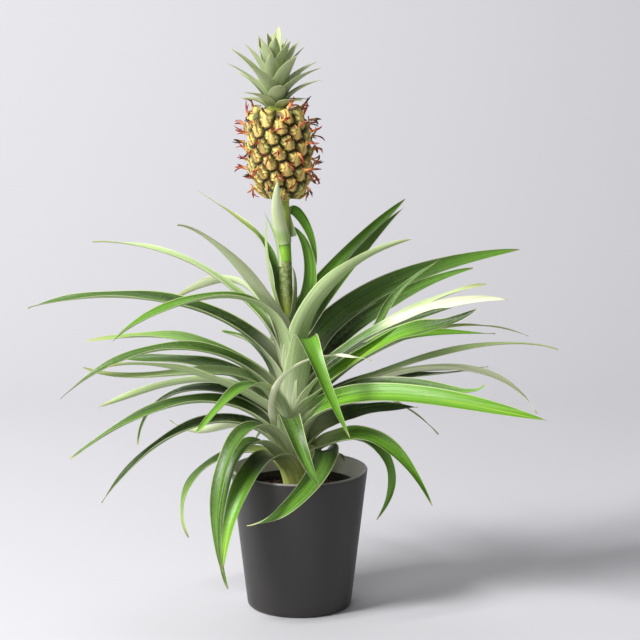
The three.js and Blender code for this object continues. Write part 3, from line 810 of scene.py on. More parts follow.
# %% The long leaves, listed
# A look is the green's tone at the root and at the tip, the silver bloom, the cream, the share of
# the length where the cream starts, and the share where the leaf begins to dry out.
LOOKS = {
    "dark": (0.06, 0.2, 0.04, 0.0, 0.0, 0.96),
    "two toned": (0.04, 0.36, 0.04, 0.0, 0.0, 0.96),
    "green": (0.26, 0.4, 0.1, 0.0, 0.0, 0.96),
    "fresh": (0.46, 0.62, 0.08, 0.0, 0.0, 0.96),
    "deepening": (0.0, 0.62, 0.1, 0.0, 0.0, 0.97),
    "bright": (0.55, 0.68, 0.05, 0.0, 0.0, 0.96),
    "glowing": (0.54, 0.7, 0.0, 0.0, 0.0, 0.97),
    "ripening": (-0.1, 0.76, 0.05, 0.0, 0.0, 0.97),
    "turning": (0.42, 0.92, 0.15, 0.1, 0.3, 0.85),
    "dark tipped": (0.72, 0.1, 0.05, 0.0, 0.0, 0.98),
    "slate": (0.16, 0.6, 0.2, 0.0, 0.0, 0.96),
    "silver": (0.4, 0.5, 0.85, 0.0, 0.0, 0.9),
    "whitish": (0.6, 0.7, 0.3, 0.75, -0.2, 0.97),
    "whitening": (1.0, 0.4, 0.1, 0.45, 0.16, 0.97),
    "lime": (0.6, 0.9, 0.3, 0.3, 0.15, 0.8),
    "pale": (0.66, 0.9, 0.35, 0.42, 0.1, 0.75),
    "straw tipped": (0.3, 0.6, 0.2, 0.0, 0.0, 0.45),
    "variegated": (0.46, 0.85, 0.1, 1.0, 0.4, 0.96),
    "cream": (0.6, 0.9, 0.2, 1.0, 0.1, 0.96),
}
# Each row has the height of the root on the stem, the points a third, two thirds and all the way
# along the midrib, the greatest width, the roll in degrees at root and tip, and the look.
LEAVES = [
    (242, (-95, 5, 302), (-192, 12, 316), (-273, 20, 303), 28, -12, -10, "two toned"),
    (274, (-79, 30, 329), (-144, 60, 355), (-213, 85, 360), 17, 0, 0, "lime"),
    (285, (-34, -20, 317), (-71, -58, 371), (-115, -95, 406), 23, 12, 8, "pale"),
    (285, (-26, 12, 349), (-48, 35, 381), (-104, 75, 415), 13, 0, 0, "straw tipped"),
    (218, (-42, -25, 315), (-121, -55, 319), (-180, -80, 289), 26, -6, -4, "fresh"),
    (280, (-49, 35, 317), (-85, 75, 321), (-139, 105, 292), 20, 5, 70, "pale"),
    (218, (-89, 15, 263), (-151, 25, 273), (-218, 35, 266), 22, -14, -14, "turning"),
    (213, (-85, -15, 264), (-162, -30, 265), (-236, -40, 223), 24, -14, -12, "green"),
    (197, (-73, 30, 235), (-134, 58, 241), (-192, 78, 240), 24, -12, -30, "green"),
    (192, (-64, -25, 229), (-125, -45, 255), (-187, -60, 260), 21, 15, 30, "turning"),
    (203, (-71, -12, 242), (-143, -22, 242), (-214, -30, 253), 22, -14, -14, "lime"),
    (192, (-79, 35, 223), (-149, 70, 209), (-211, 95, 183), 20, 15, 50, "turning"),
    (182, (-68, 0, 219), (-129, 8, 216), (-164, 15, 163), 20, -10, -20, "dark"),
    (171, (-84, -10, 213), (-159, -20, 200), (-228, -30, 159), 26, -12, -10, "green"),
    (161, (-78, -5, 192), (-144, -10, 167), (-199, -15, 110), 23, -12, -12, "dark"),
    (161, (-58, 30, 179), (-96, 70, 163), (-136, 100, 168), 21, 15, 45, "pale"),
    (182, (-39, -35, 234), (-68, -80, 232), (-99, -115, 206), 24, 0, 0, "fresh"),
    (156, (-77, 12, 151), (-114, 12, 117), (-113, 8, 67), 14, -10, -60, "turning"),
    (160, (-53, -50, 192), (-78, -85, 142), (-74, -92, 60), 24, 0, 0, "green"),
    (138, (-52, -46, 176), (-75, -72, 123), (-70, -78, 39), 23, 0, 0, "green"),
    (141, (-35, -45, 160), (-59, -84, 131), (-74, -98, 67), 34, 0, 0, "ripening"),
    (138, (27, -20, 163), (8, -80, 142), (-50, -110, 113), 31, 0, 0, "slate"),
    (145, (-10, -45, 204), (0, -82, 190), (21, -90, 146), 26, 0, 0, "green"),
    (213, (5, -42, 280), (15, -84, 276), (50, -108, 200), 28, 0, 0, "fresh"),
    (186, (-25, -33, 218), (0, -52, 260), (72, -72, 269), 13, 50, 60, "cream"),
    (290, (27, 35, 330), (66, 72, 366), (109, 108, 401), 22, 35, 30, "fresh"),
    (269, (22, 16, 307), (63, 40, 357), (106, 62, 399), 17, 50, 40, "green"),
    (244, (9, -35, 308), (50, -62, 359), (109, -75, 389), 24, -30, -20, "silver"),
    (244, (47, 45, 296), (128, 70, 332), (226, 85, 352), 30, 50, 55, "slate"),
    (233, (46, 34, 274), (108, 52, 312), (177, 60, 337), 23, 50, 45, "deepening"),
    (216, (72, 20, 272), (91, 22, 308), (142, 20, 353), 13, 20, 70, "green"),
    (218, (58, -6, 270), (131, -12, 308), (208, -14, 318), 22, 20, 50, "variegated"),
    (225, (55, 10, 269), (128, 14, 309), (189, 18, 328), 15, 0, 30, "pale"),
    (210, (87, -32, 279), (129, -60, 299), (174, -80, 322), 27, 30, 48, "dark tipped"),
    (214, (47, -14, 260), (105, -28, 296), (151, -36, 314), 18, 10, 30, "dark"),
    (205, (70, 4, 260), (124, 14, 277), (198, 24, 276), 20, 22, 26, "bright"),
    (210, (72, 40, 250), (152, 75, 272), (238, 100, 258), 10, 0, 0, "straw tipped"),
    (197, (67, 5, 232), (166, 10, 263), (261, 12, 262), 15, 18, 18, "lime"),
    (182, (61, -10, 228), (157, -22, 249), (237, -26, 205), 26, -8, 8, "whitish"),
    (187, (57, 18, 221), (113, 40, 228), (171, 60, 230), 20, 10, 10, "dark"),
    (190, (63, 48, 222), (130, 95, 222), (198, 125, 220), 18, 0, 0, "dark"),
    (177, (56, -50, 226), (147, -92, 232), (239, -114, 219), 34, 35, 35, "glowing"),
    (187, (71, -28, 235), (139, -50, 235), (184, -62, 243), 20, 10, 38, "slate"),
    (172, (37, 12, 190), (75, 28, 196), (121, 40, 196), 26, 32, 32, "dark"),
    (182, (47, 30, 212), (98, 55, 198), (144, 75, 159), 11, 0, 0, "straw tipped"),
    (156, (48, -20, 179), (89, -36, 173), (133, -46, 115), 28, 20, 35, "fresh"),
    (156, (61, 8, 170), (92, 14, 138), (79, 18, 83), 17, -30, 120, "fresh"),
    (145, (24, 12, 150), (37, 24, 152), (46, 30, 141), 12, 0, 0, "straw tipped"),
    (213, (-36, 50, 250), (-60, 95, 257), (-83, 130, 258), 21, 0, 0, "green"),
    (218, (-14, 65, 251), (-21, 125, 253), (-37, 175, 233), 20, 0, 0, "dark"),
    (208, (15, 60, 243), (27, 120, 248), (40, 165, 227), 20, 0, 0, "green"),
    (171, (-17, 55, 180), (-28, 110, 169), (-49, 150, 134), 20, 0, 0, "dark"),
]


# %% Grow the long leaves
def leaf_points(row, number):
    """Points and attributes of one long leaf, from its sheath on the stem to its tip."""
    root_height, third, two_thirds, tip, width, roll_root, roll_tip, look = row
    draw = draws_for("long leaves", number)
    heading = leaf_heading(root_height, third, two_thirds)
    root = stem_axis(root_height) + heading * (stem_radius(root_height) + 1)
    corners = np.array([root, third, two_thirds, tip], float)
    whole = run_length(midrib(corners, np.linspace(0, 1, 200)))[-1]
    join = np.clip(30 / whole, 0.1, 0.3)
    t = np.linspace(join, 1, BLADE_ROWS)
    blade_line = midrib(corners, t)

    foot_height = root_height - SHEATH_DEPTH
    foot_radius = stem_radius(foot_height) + 0.8
    foot = stem_axis(foot_height) + heading * foot_radius
    reach = np.linalg.norm(blade_line[0] - foot)
    slope = unit(blade_line[1] - blade_line[0])
    s = np.linspace(0, 1, SHEATH_ROWS, endpoint=False)
    path = np.concatenate([hermite(foot, UP * reach, blade_line[0], slope * reach, s), blade_line])
    share = np.concatenate([s * join, t])
    length = run_length(path)

    wrap = 1 - smooth_step(WRAP_START, WRAP_END, length)
    wrap_angle = WRAP_ANGLE * min(1, width / FULL_SHEATH_WIDTH)
    half = wrap * foot_radius * wrap_angle + (1 - wrap) * blade_half_width(width, share)
    bend = wrap * wrap_angle + (1 - wrap) * BLADE_ANGLE
    roll = np.radians(roll_root + (roll_tip - roll_root) * share) * (1 - wrap)
    across = across_path(path, heading, roll)
    waves = 0.9 * np.sin(2 * math.pi * (draw.uniform(1.5, 3) * share + draw.uniform()))
    waves = waves * smooth_step(0.2, 0.5, share)
    full = np.maximum(half, LEAST_HALF_WIDTH)
    points = sweep_blade(path, across, full, bend, 1.3 - 1.05 * share, waves)
    return points, blade_attributes(points, half, share, length, LOOKS[look], draw)


for number, row in enumerate(LEAVES, start=1):
    points, attributes = leaf_points(row, number)
    make_piece(f"long_leaf_{number:02d}", points, LEAF, [f"leaf_{number:02d}"], attributes)
print("Grew", len(LEAVES), "long leaves")

# %% [markdown]
# ## Stem and flower stalk
#
# Stem and stalk are plain rods: level rings round the stem's line, with a radius for each height. The
# stem hides behind the sheaths. The stalk above it is mealy lower down, bright green where it was
# sheltered, and yellow-green right under the fruit. Seven small leaves hug it.

# %% Stem and stalk
FRUIT_BOTTOM = 418
FRUIT_TOP = 506
ROD_COLUMNS = 40
STEM_ROWS = 60
STALK_ROWS = 90
END_GAP = 0.3
STALK_RADII = {290: 7.6, 305: 7, 330: 6.5, 355: 6.5, 380: 6.2, 400: 5.8, 418: 6.6}


def make_rod(name, heights, radii, columns, nodes, height_from=STEM_TOP):
    """A rod round the stem's line, with the place (round, up, 0) that its fibres run along."""
    points = close_ends(turned(grid(radii, heights), columns, stem_axis(heights)[:, 0]))
    middle = points.mean(axis=1, keepdims=True)
    angle = np.arctan2(points[..., 1] - middle[..., 1], points[..., 0] - middle[..., 0])
    place = on_grid(points, np.abs(angle) * 8.0, points[..., 2] - height_from, 0.0)
    make_piece(name, points, STALK, nodes, {"rod_place": place}, closing=False)


def stalk_material():
    """Green rod with upright fibres; mealy low down, bright where sheltered, yellowish at the top."""
    net = Finish("mealy stalk", Roughness=0.5, Specular_IOR_Level=0.4)
    _, height, _, place = net.read("rod_place")
    fibre, patch = net.fibres(place, 2.2, 0.05)
    mealy = net.speckle(place, 1.5, 0.46)
    low = net.paint((64, 92, 34), (fibre, (124, 146, 66)), (net.times(mealy, 0.95), (206, 202, 158)))
    fresh = net.mix(fibre, (112, 168, 40), (150, 200, 62))
    top = net.mix(fibre, (164, 190, 70), (200, 212, 104))
    sheathed = net.mix(fibre, (104, 130, 38), (206, 218, 100))
    stalk = net.paint(sheathed, (net.step(net.times(patch, 14, height), 22, 44), low),
                      (net.step(height, 63, 68), fresh),
                      (net.step(height, 76, 84, 0, 0.8), (92, 132, 52)),
                      (net.step(height, 88, 112), top))
    return net.done(stalk, net.times(mealy, 0.8, fibre), 0.3, 0.0004)


STALK = stalk_material()
stem_heights = np.linspace(STEM_FOOT, STEM_TOP, STEM_ROWS)
make_rod("stem_core", stem_heights, stem_radius(stem_heights), ROD_COLUMNS, ["stem"])
stalk_heights = np.linspace(STEM_TOP + END_GAP, FRUIT_BOTTOM - END_GAP, STALK_ROWS)
stalk_radii = np.interp(stalk_heights, list(STALK_RADII), list(STALK_RADII.values()))
make_rod("stalk_rod", stalk_heights, stalk_radii, ROD_COLUMNS, ["flower_stalk"])
print("Stem and stalk reach", FRUIT_BOTTOM, "mm")

# %% The small leaves on the stalk
STALK_LEAVES = [
    (372, (-20, -13, 392), (-22, -27, 416), (-20, -40, 441), 18, 0, 0, "whitening"),
    (299, (-28, -9, 336), (-33, -7, 371), (-31, -4, 398), 8, 0, 0, "bright"),
    (350, (-22, -2, 371), (-27, -3, 388), (-34, -5, 404), 8, 0, 0, "silver"),
    (378, (-9, 11, 407), (7, 11, 390), (17, 8, 348), 15, 150, 120, "glowing"),
    (293, (10, 8, 326), (9, 8, 362), (-6, 6, 389), 17, 60, 75, "fresh"),
    (295, (-3, -4, 316), (-3, -5, 336), (-7, -4, 350), 10, 0, 0, "dark"),
    (295, (-24, -6, 314), (-27, -8, 334), (-28, -9, 350), 8, 0, 0, "whitish"),
]
STALK_LEAF_RADIUS = 6.8
STALK_LEAF_ROWS = 44
PAST_THE_BASE = 60


def stalk_leaf_points(row, number):
    """A small blade whose root clasps the stalk; its row reads as a long leaf's does."""
    root_height, third, two_thirds, tip, width, roll_root, roll_tip, look = row
    draw = draws_for("small leaves", number)
    heading = leaf_heading(root_height, third, two_thirds)
    root = stem_axis(root_height) + heading * STALK_LEAF_RADIUS
    corners = np.array([root, third, two_thirds, tip], float)
    share = np.linspace(0, 1, STALK_LEAF_ROWS)
    path = midrib(corners, share)
    wrap = np.exp(-((share / 0.12) ** 2))
    half = np.maximum(blade_half_width(width, share), LEAST_HALF_WIDTH)
    bend = BLADE_ANGLE * (1 - wrap) + wrap * half / STALK_LEAF_RADIUS
    across = across_path(path, heading, np.radians(roll_root + (roll_tip - roll_root) * share))
    points = sweep_blade(path, across, half, bend, 1.1 - 0.6 * share, 0 * share)
    length = run_length(path) + PAST_THE_BASE
    return points, blade_attributes(points, half, share, length, LOOKS[look], draw)


grown = [stalk_leaf_points(row, number) for number, row in enumerate(STALK_LEAVES)]
make_piece("stalk_leaves", np.stack([points for points, _ in grown]), LEAF, ["flower_stalk"],
           {key: np.stack([made[key] for _, made in grown]) for key in grown[0][1]})
print("Stalk with", len(STALK_LEAVES), "small leaves")

# %% [markdown]
# ## Fruit
#
# A pineapple is a spike of small fruits, or eyes, on a golden-angle spiral. Each point of its skin
# belongs to the nearest eye. The skin rises from the groove, where two eyes are equally near, to a
# rounded cushion. So the whole skin is one height field over angle and height.

# %% The fruit's skin
EYES = 66
EYE_HEIGHT = 3.6
EYE_SHARES = 0.05 + 0.9 * (np.arange(EYES) + 0.5) / EYES
EYE_ANGLES = np.arange(EYES) * GOLDEN_ANGLE
FRUIT_HEIGHT = FRUIT_TOP - FRUIT_BOTTOM
FRUIT_RADIUS = 27.5
FRUIT_FOOT_RADIUS = 7.5
FRUIT_CAP_RADIUS = 12
SKIN_ROWS = 250
SKIN_COLUMNS = 320


def fruit_radius(share):
    """A barrel: the end radius plus the rest times sqrt(1 - m^power), with m = |2 share - 1|."""
    m = np.minimum(1, np.abs(2 * share - 1))
    end = np.where(share > 0.5, FRUIT_CAP_RADIUS, FRUIT_FOOT_RADIUS)
    power = np.where(share > 0.5, 4.0, 2.2)
    return end + (FRUIT_RADIUS - end) * np.sqrt(1 - m**power)


def fruit_place(share, angle):
    """At a share of the fruit's height and an angle: the point, and the ways out, up and around."""
    share, angle = np.broadcast_arrays(share, angle)
    slope = (fruit_radius(share + 0.01) - fruit_radius(share - 0.01)) / (0.02 * FRUIT_HEIGHT)
    out = grid(np.cos(angle), np.sin(angle), 0.0)
    around = grid(-np.sin(angle), np.cos(angle), 0.0)
    outward = unit(out - slope[..., None] * UP)
    middle = stem_axis(FRUIT_BOTTOM + share * FRUIT_HEIGHT) + fruit_radius(share)[..., None] * out
    return middle, outward, np.cross(outward, around), around


def nearest_eyes(share, angle):
    """Distances in mm to the nearest eye and to the next, the offset from the nearest, its number."""
    around = (angle[..., None] - EYE_ANGLES + math.pi) % (2 * math.pi) - math.pi
    x = around * (fruit_radius(share) + EYE_HEIGHT)[..., None]
    y = (share[..., None] - EYE_SHARES) * FRUIT_HEIGHT
    distance = np.hypot(x, y)
    near, next_ = np.moveaxis(np.partition(distance, 1, axis=-1)[..., :2], -1, 0)
    first = distance.argmin(axis=-1)
    x, y = (np.take_along_axis(v, first[..., None], axis=-1)[..., 0] for v in (x, y))
    return near, next_, x, y, first


def skin_height(near, next_, y):
    """Rise of the skin: a rounded cushion, and a peak a little above the eye's middle."""
    groove = next_ - near
    cushion = smooth_step(0.0, 5.0, groove) ** 0.6
    peak = 0.45 * smooth_step(2.0, 12.0, groove) * (1 + 0.12 * y)
    return EYE_HEIGHT * (cushion * 0.74 + peak)


def skin_points():
    """The barrel pushed out by cushions, with flat ends, and what the skin's finish reads."""
    share = np.linspace(0.0, 1.0, SKIN_ROWS)[:, None]
    share, angle = np.broadcast_arrays(share, round_angles(SKIN_COLUMNS))
    near, next_, x, y, eye = nearest_eyes(share, angle)
    ends = smooth_step(0.0, 0.035, share) * smooth_step(0.0, 0.03, 1 - share)
    middle, outward, _, _ = fruit_place(share, angle)
    folds = np.cos(6 * np.arctan2(x, y) + 2.4 * eye) + 0.6 * np.cos(11 * np.arctan2(x, y) + 1.7 * eye)
    folds = 0.5 * folds * smooth_step(1.0, 4.0, near) * smooth_step(0.0, 3.0, next_ - near)
    body = middle + ((skin_height(near, next_, y) + folds) * ends)[..., None] * outward
    eye_draw = draws_for("skin").uniform(0, 1, EYES)[eye]
    return body, {"skin_eye": grid(x, y, next_ - near), "skin_look": grid(eye_draw, share, folds)}


def skin_material():
    """Olive and yellow cushions, dark brown towards the seams (their own brown and painted shade), with
    freckles and a faint blush.
    """
    net = Finish("pineapple skin", Specular_IOR_Level=0.4, Roughness=0.5)
    groove, place = net.read("skin_eye")[2:]
    draw, _, fold, _ = net.read("skin_look")
    fine = net.noise(place, 1.1, 5.0, 0.65)
    whole = net.place()
    gold = net.mix(draw, (238, 214, 118), (208, 210, 124))
    pale = net.times(fold, 3.0, net.times(fine, 5.0, groove))
    skin = net.paint(
        (112, 88, 36), (draw, (90, 104, 46)),
        (net.step(pale, 5.0, 10.8), gold),
        (net.times(net.step(net.noise(whole, 120.0, 3.0), 0.5, 0.66), 0.45), (164, 106, 48)),
        (net.times(net.speckle(whole, 900.0, 0.55), 0.5), (92, 62, 34)),
        # Dark brown in the grooves between cushions: the seams' own brown, deepened as painted shade.
        (net.step(net.times(fine, 3.0, groove), 1.8, 4.6, 1.0, 0.0), (58, 40, 22)))
    return net.done(skin, fine, 0.5, 0.0008)


skin, skin_attributes = skin_points()
fruit_skin = make_piece("fruit_skin", skin, skin_material(), ["fruit"], skin_attributes)
print("The fruit's skin has", len(fruit_skin.data.polygons), "faces")

# %% [markdown]
# ## Bracts
#
# Each eye sits behind a leafy bract. Its foot is a broad pointed scale that hugs the lower half of
# the cushion, so it is worked out from the same height field as the skin, lifted a little towards
# its point. From the point hang the withered ends: thin ribbons that dried orange, red or
# black and curled. Each ribbon turns faster and faster along its length, as drying strips do.

# %% Scales that hug the skin
BRACT_LENGTH = 12.5
SCALE_ROWS = 18
SCALE_COLUMNS = 7
SCALE_FOOT = -6.4
SCALE_POINT = 7.5
SCALE_THICKNESS = 0.45


def scale_points():
    """For each eye a patch of the lifted skin: local y from foot to point, local x within the width."""
    s = np.linspace(0, 1, SCALE_ROWS)[:, None]
    u = np.linspace(-1, 1, SCALE_COLUMNS)
    eye = np.arange(EYES)[:, None, None]
    draw = draws_for("scales")
    half = (5.2 + 0.7 * draw.uniform(-1, 1, (EYES, 1, 1))) * (1 - s) ** 0.85 * (1 - 0.35 * s) + 0.5
    y = SCALE_FOOT + (SCALE_POINT - SCALE_FOOT) * s + 0 * u
    share = np.clip(EYE_SHARES[eye] + y / FRUIT_HEIGHT, 0.004, 0.996)
    angle = EYE_ANGLES[eye] + u * half / (fruit_radius(share) + EYE_HEIGHT)
    near, next_, _, local_y, _ = nearest_eyes(share, angle)
    middle, outward, _, _ = fruit_place(share, angle)
    lift = 0.3 + (2.4 + 2.6 * draw.uniform(0, 1, (EYES, 1, 1))) * s**2.2 * (1 - 0.2 * u**2)
    lift = lift + 0.8 * (1 - np.abs(u)) * np.sin(math.pi * s)
    ends = smooth_step(0.0, 0.03, share) * smooth_step(0.0, 0.03, 1 - share)
    rise = skin_height(near, next_, local_y)
    rise = rise + (EYE_HEIGHT * 1.1 - rise) * smooth_step(0.3, 0.6, s)
    face = middle + (rise * ends + lift)[..., None] * outward
    points = both_faces(face, face - SCALE_THICKNESS * outward)
    look = draw.uniform(0, 1, (EYES, 1, 1))
    return points, {"bract_look": on_grid(points, 0.1 + 0.4 * s, look, np.abs(np.tile(u, 2)))}


def bract_material():
    """Along the bract: olive, yellow, orange, red-brown, on some a black tip; brown margins; a pale
    middle, own colour and painted fold highlight.
    """
    net = Finish("dry bract", Roughness=0.45, Specular_IOR_Level=0.5)
    share, draw, margin, _ = net.read("bract_look")
    noise = net.noise(net.place(), 700.0, 2.0)
    where = net.times(noise, 0.24, net.times(share, 1.0, -0.12))
    # The pale middle is the scales' own yellow, and on the ribbons a painted highlight along the fold.
    middle = net.times(net.step(margin, 0.05, 0.75, 0.85, 0.0), net.step(where, 0.9, 0.5))
    bract = net.paint(
        (146, 114, 48), (draw, (128, 120, 56)),
        (net.step(where, 0.04, 0.2), (208, 182, 90)),
        (net.step(noise, 0.47, 0.62, 0, 0.75), (122, 82, 38)),
        (net.times(net.step(margin, 0.7, 1.0, 0, 0.7), net.step(where, 0.5, 0.6, 1, 0)), (138, 80, 38)),
        (net.step(where, 0.42, 0.56), (196, 96, 44)),
        (net.step(where, 0.54, 0.8), (142, 30, 24)),
        (middle, (236, 204, 128)),
        (net.times(net.step(draw, 0.76, 0.8), net.step(where, 0.62, 0.85)), (34, 26, 26)))
    return net.done(bract, noise, 0.4, 0.0005)


BRACT = bract_material()
points, attributes = scale_points()
make_piece("bract_scales", points, BRACT, ["fruit"], attributes)
print("The fruit carries", EYES, "scales")

# %% Dry curled ribbons
RIBBONS_PER_EYE = 3
RIBBON_ROWS = 13
HALF_THICKNESS = 0.22


def ribbon_lines():
    """Three lines an eye. Each starts at the scale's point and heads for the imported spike's tip.

    Its direction turns about a drawn axis by the angle total s^1.8, so the curl tightens at the end.
    The line is the running sum of its directions.
    """
    eye = np.repeat(np.arange(EYES), RIBBONS_PER_EYE)
    second = np.tile([0.0, 0.6, 1.0], EYES)[:, None]
    draws = grown_draws(3 * EYES).reshape(EYES, 3)[eye]
    middle, outward, upward, around = fruit_place(EYE_SHARES[eye], EYE_ANGLES[eye])
    length = BRACT_LENGTH * (0.35 + 0.65 * np.minimum(1, 5 * (eye + 1) / EYES))[:, None]
    tip = (middle + outward * (EYE_HEIGHT + length * (0.45 + 0.4 * draws[:, :1]))
           + upward * length * (0.1 + 0.6 * draws[:, 1:2]) + around * length * (draws[:, 2:] - 0.5))
    start = middle + upward * (SCALE_POINT - 2.0) + outward * (EYE_HEIGHT + 3.0)
    start = start + around * (second - 0.5) * 0.9
    draw = draws_for("ribbons")
    rise = 1.1 * EYE_SHARES[eye][:, None] ** 5 * UP
    heading = unit(unit(tip - start) + rise + draw.uniform(-0.4, 0.4, (len(eye), 3)) * (0.4 + second))
    axis = unit(np.cross(heading, unit(draw.uniform(-1, 1, (len(eye), 3)))))
    total = draw.uniform(0.3, 1.9, (len(eye), 1)) * np.sign(draw.uniform(-1, 1, (len(eye), 1)))
    s = np.linspace(0, 1, RIBBON_ROWS)
    angle = (total * s**1.8)[..., None]
    beside = np.cross(axis, heading)[:, None, :]
    direction = np.cos(angle) * heading[:, None, :] + np.sin(angle) * beside
    size = (5.4 + np.linalg.norm(tip - start, axis=1, keepdims=True)) * (1.2 - 0.35 * second)
    step = (size / (RIBBON_ROWS - 1))[:, None]
    line = start[:, None, :] + np.cumsum(direction * step, axis=1) - direction[:, :1] * step
    return line, direction, axis[:, None, :], s


def ribbon_points():
    """Folded ribbons on the lines: 3 mm wide at first, narrower to the tip, twisting a little."""
    line, direction, side, s = ribbon_lines()
    draw = draws_for("folds")
    twist = (draw.uniform(-1.6, 1.6, (len(line), 1)) * s)[..., None]
    side = side * np.cos(twist) + np.cross(side, direction) * np.sin(twist)
    face = unit(np.cross(side, direction))[:, :, None, :]
    u = np.linspace(-1, 1, 3)[:, None]
    half = (1.5 * (1 - 0.8 * s**2) * (0.85 + 0.15 * np.cos(9 * s)))[:, None, None]
    half = half * draw.uniform(0.75, 1.2, (len(line), 1, 1, 1))
    fold = 0.7 * (np.abs(u) - 0.5) * half
    flat = line[:, :, None, :] + u * half * side[:, :, None, :] + fold * face
    points = both_faces(flat + HALF_THICKNESS * face, flat - HALF_THICKNESS * face)
    look = np.repeat(draw.uniform(0, 1, (EYES, 1, 1)), RIBBONS_PER_EYE, axis=0)
    margin = np.abs(np.tile(u[:, 0], 2))
    return points, {"bract_look": on_grid(points, 0.42 + 0.58 * s[:, None], look, margin)}


points, attributes = ribbon_points()
ribbons = make_piece("dry_ribbons", points, BRACT, ["fruit"], attributes)
print("and", EYES * RIBBONS_PER_EYE, "dry ribbons of", len(ribbons.data.polygons), "faces in all")

# %% [markdown]
# ## Crown
#
# The crown repeats the plant in small: short stiff leaves on the same spiral, spreading at the foot
# and upright on top, each broad, keeled and curved outward. A pale bloom covers them.

# %% The crown's leaves
CROWN_LEAVES = 30
CROWN_FOOT = FRUIT_TOP + 1.3
CROWN_STEM_TOP = 540
CROWN_STEM_RADIUS = 9.5
CROWN_LEAF_LENGTH = 55
CROWN_LEAF_WIDTH = 18
CROWN_ROWS = 34
CORE_ROWS = 12
CORE_COLUMNS = 24
CORE_TOP_RADIUS = 3


def crown_points():
    """All crown leaves at once: (leaf, row, column, 3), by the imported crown's own rule."""
    draws = grown_draws(3 * EYES + 2 * CROWN_LEAVES)[3 * EYES:].reshape(CROWN_LEAVES, 2)
    order = np.arange(CROWN_LEAVES) / (CROWN_LEAVES - 1)
    angle = np.arange(CROWN_LEAVES) * GOLDEN_ANGLE + 0.6
    heading = grid(np.cos(angle), np.sin(angle), 0.0)
    rise = np.radians(38 + 44 * order**0.7 + 16 * (draws[:, 0] - 0.5))[:, None]
    root = stem_axis(CROWN_FOOT + (CROWN_STEM_TOP - 4 - CROWN_FOOT) * order**1.2)
    root = root + heading * (0.95 * CROWN_STEM_RADIUS * (1 - order))[:, None]
    length = 0.5 + 0.5 * np.sin(math.pi * np.minimum(0.5, order)) - 0.24 * np.maximum(0, order - 0.5)
    length = CROWN_LEAF_LENGTH * (length + 0.22 * (draws[:, 1] - 0.5))
    across = np.cross(UP, heading)
    forward = heading * np.cos(rise) + UP * np.sin(rise)
    above = np.cross(forward, across)[:, None, None, :]

    order, length = order[:, None, None, None], length[:, None, None, None]
    s = np.linspace(0, 1, CROWN_ROWS)[:, None, None]
    u = ACROSS_FACE[:, None]
    broad = (1 - s ** (2.3 + 2.4 * order)) ** 1.1 * (0.8 + 0.2 * smooth_step(0.0, 0.3, s))
    half = 0.5 * CROWN_LEAF_WIDTH * (1 - 0.15 * order) * broad + 0.08
    drop = 0.36 * half * np.abs(u) ** 1.5 - (0.46 * (1 - order) + 0.06) * length * s**2
    flat = root[:, None, None, :] + length * s * forward[:, None, None, :]
    flat = flat + half * u * across[:, None, None, :] + drop * above
    depth = 0.5 * (1.5 - 0.9 * s) * (1 - 0.75 * u**4)
    points = both_faces(flat + depth * above, flat - depth * above)
    shift = draws_for("crown").uniform(0, 500, (CROWN_LEAVES, 1, 1))
    half, s, order = half[..., 0], s[..., 0], order[..., 0]
    across_blade, along_blade = half * ACROSS_BOTH + shift, s * CROWN_LEAF_LENGTH + shift
    return points, {
        "blade_place": on_grid(points, across_blade, along_blade, FACE_SIDE),
        "blade_shape": on_grid(points, np.abs(ACROSS_BOTH), s, order),
    }


def crown_material():
    """Pale grey-green with a whitish bloom, finely striped, light along the margins, with painted shade
    at the leaves' roots.
    """
    net = Finish("crown leaf", Roughness=0.52, Specular_IOR_Level=0.4)
    side, place = net.read("blade_place")[2:]
    margin, share, _, _ = net.read("blade_shape")
    fibre, patch = net.fibres(place, 1.6, 0.05)
    body = net.paint(
        (146, 164, 110), (patch, (184, 198, 146)),
        (net.times(fibre, 0.5), (170, 182, 134)),
        (net.times(side, 0.6), (172, 184, 138)),
        # Dark green at each leaf's root is painted shade where the crown's leaves crowd together.
        (net.step(share, 0.0, 0.36, 0.7, 0.0), (76, 98, 46)),
        (net.times(net.speckle(place, 2.0, 0.46), 0.35), (180, 188, 158)),
        (net.step(margin, 0.84, 0.97, 0, 0.75), (184, 194, 140)),
        (net.step(share, 0.8, 0.97, 0, 0.85), (192, 192, 142)))
    return net.done(body, fibre, 0.4, 0.0004)


points, attributes = crown_points()
make_piece("crown_leaves", points, crown_material(), ["crown"], attributes)
core_heights = np.linspace(FRUIT_TOP + END_GAP, CROWN_STEM_TOP, CORE_ROWS)
core_radii = np.linspace(CROWN_STEM_RADIUS, CORE_TOP_RADIUS, CORE_ROWS)
make_rod("crown_core", core_heights, core_radii, CORE_COLUMNS, ["crown"], STEM_TOP + 200)
print("The crown has", CROWN_LEAVES, "leaves")

# %% [markdown]
# ## Studio
#
# The plant stands on a pale sweep: floor and backdrop are one sheet with a wide bend, so no edge
# shows behind the leaves. A large soft light from the left draws the planter's round side and throws
# a soft shadow to the right. A weaker one fills from the front, and a third lights the tops.

# %% Floor, lights and surroundings
BEND_RADIUS = 1.0
BEND_START = 0.9
WALL_TOP = 3.6
SWEEP_REACH = 9.0
SWEEP_COLOUR = (200, 199, 203)
WORLD_LIGHT = 0.12
WORLD_SEEN = 0.55
SOFTBOXES = {
    "key": ((-2.5, -1.6, 2.63), (0, 0, 0.25), 1.08, 226),
    "fill": ((-0.7, -2.6, 1.3), (0, 0, 0.2), 1.4, 16),
    "top": ((-0.3, 0.5, 2.1), (0, 0, 0.3), 0.8, 7),
}


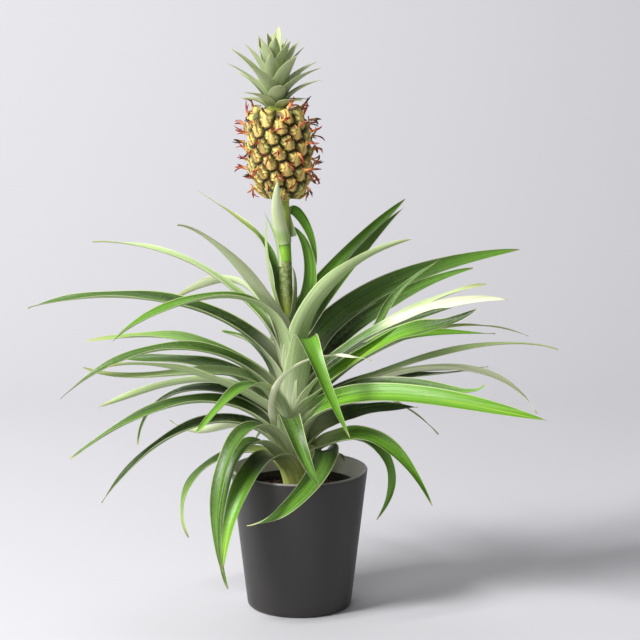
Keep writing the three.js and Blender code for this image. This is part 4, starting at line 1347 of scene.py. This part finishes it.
def sweep_material():
    """Pale from inside and clear from outside, so that the plant can also be seen from behind."""
    net = Finish("pale sweep", Roughness=0.7)
    net.shader.inputs["Base Color"].default_value = colour(*SWEEP_COLOUR)
    back = net.add("NewGeometry")["Backfacing"]
    clear = net.add("BsdfTransparent")[0]
    either = net.add("MixShader", {0: back, 1: net.shader.outputs[0], 2: clear})[0]
    net.tree.links.new(either, net.output.inputs[0])
    return net.material


def make_sweep():
    """A sheet that runs back level and then bends up by a quarter circle into a wall."""
    angles = np.linspace(0, math.pi / 2, 24)
    wall = BEND_START + BEND_RADIUS
    y = np.concatenate([[-SWEEP_REACH], BEND_START + BEND_RADIUS * np.sin(angles), [wall]])
    z = np.concatenate([[0.0], BEND_RADIUS * (1 - np.cos(angles)), [WALL_TOP]])
    points = grid(np.array([-SWEEP_REACH, SWEEP_REACH]), y[:, None], z[:, None]).reshape(-1, 3)
    mesh = bpy.data.meshes.new("studio_sweep")
    mesh.from_pydata(points, [], np.arange(len(y) - 1)[:, None] * 2 + [[0, 1, 3, 2]])
    mesh.shade_smooth()
    mesh.materials.append(sweep_material())
    sweep = add_object("studio_sweep", mesh)


def make_softbox(name, place, target, size, watts):
    """A square area light that faces its target."""
    data = bpy.data.lights.new(name, "AREA")
    data.size, data.energy = size, watts
    light = add_object(name, data)
    light.location = place
    light.rotation_euler = (Vector(target) - Vector(place)).to_track_quat("-Z", "Y").to_euler()
    light.visible_camera = False


def make_world():
    """Even light from all round, which the camera itself sees as a paler grey."""
    world = bpy.data.worlds.new("studio")
    world.use_nodes = True
    net = Wiring(world.node_tree)
    ray = net.add("LightPath")["Is Camera Ray"]
    level = net.add("MapRange", {"Value": ray, "To Min": WORLD_LIGHT, "To Max": WORLD_SEEN})[0]
    background = net.tree.nodes["Background"].inputs
    background["Color"].default_value = (1, 1, 1, 1)
    net.tree.links.new(level, background["Strength"])
    bpy.context.scene.world = world


make_sweep()
for name, settings in SOFTBOXES.items():
    make_softbox(name, *settings)
make_world()
bpy.context.scene.view_settings.view_transform = "Standard"
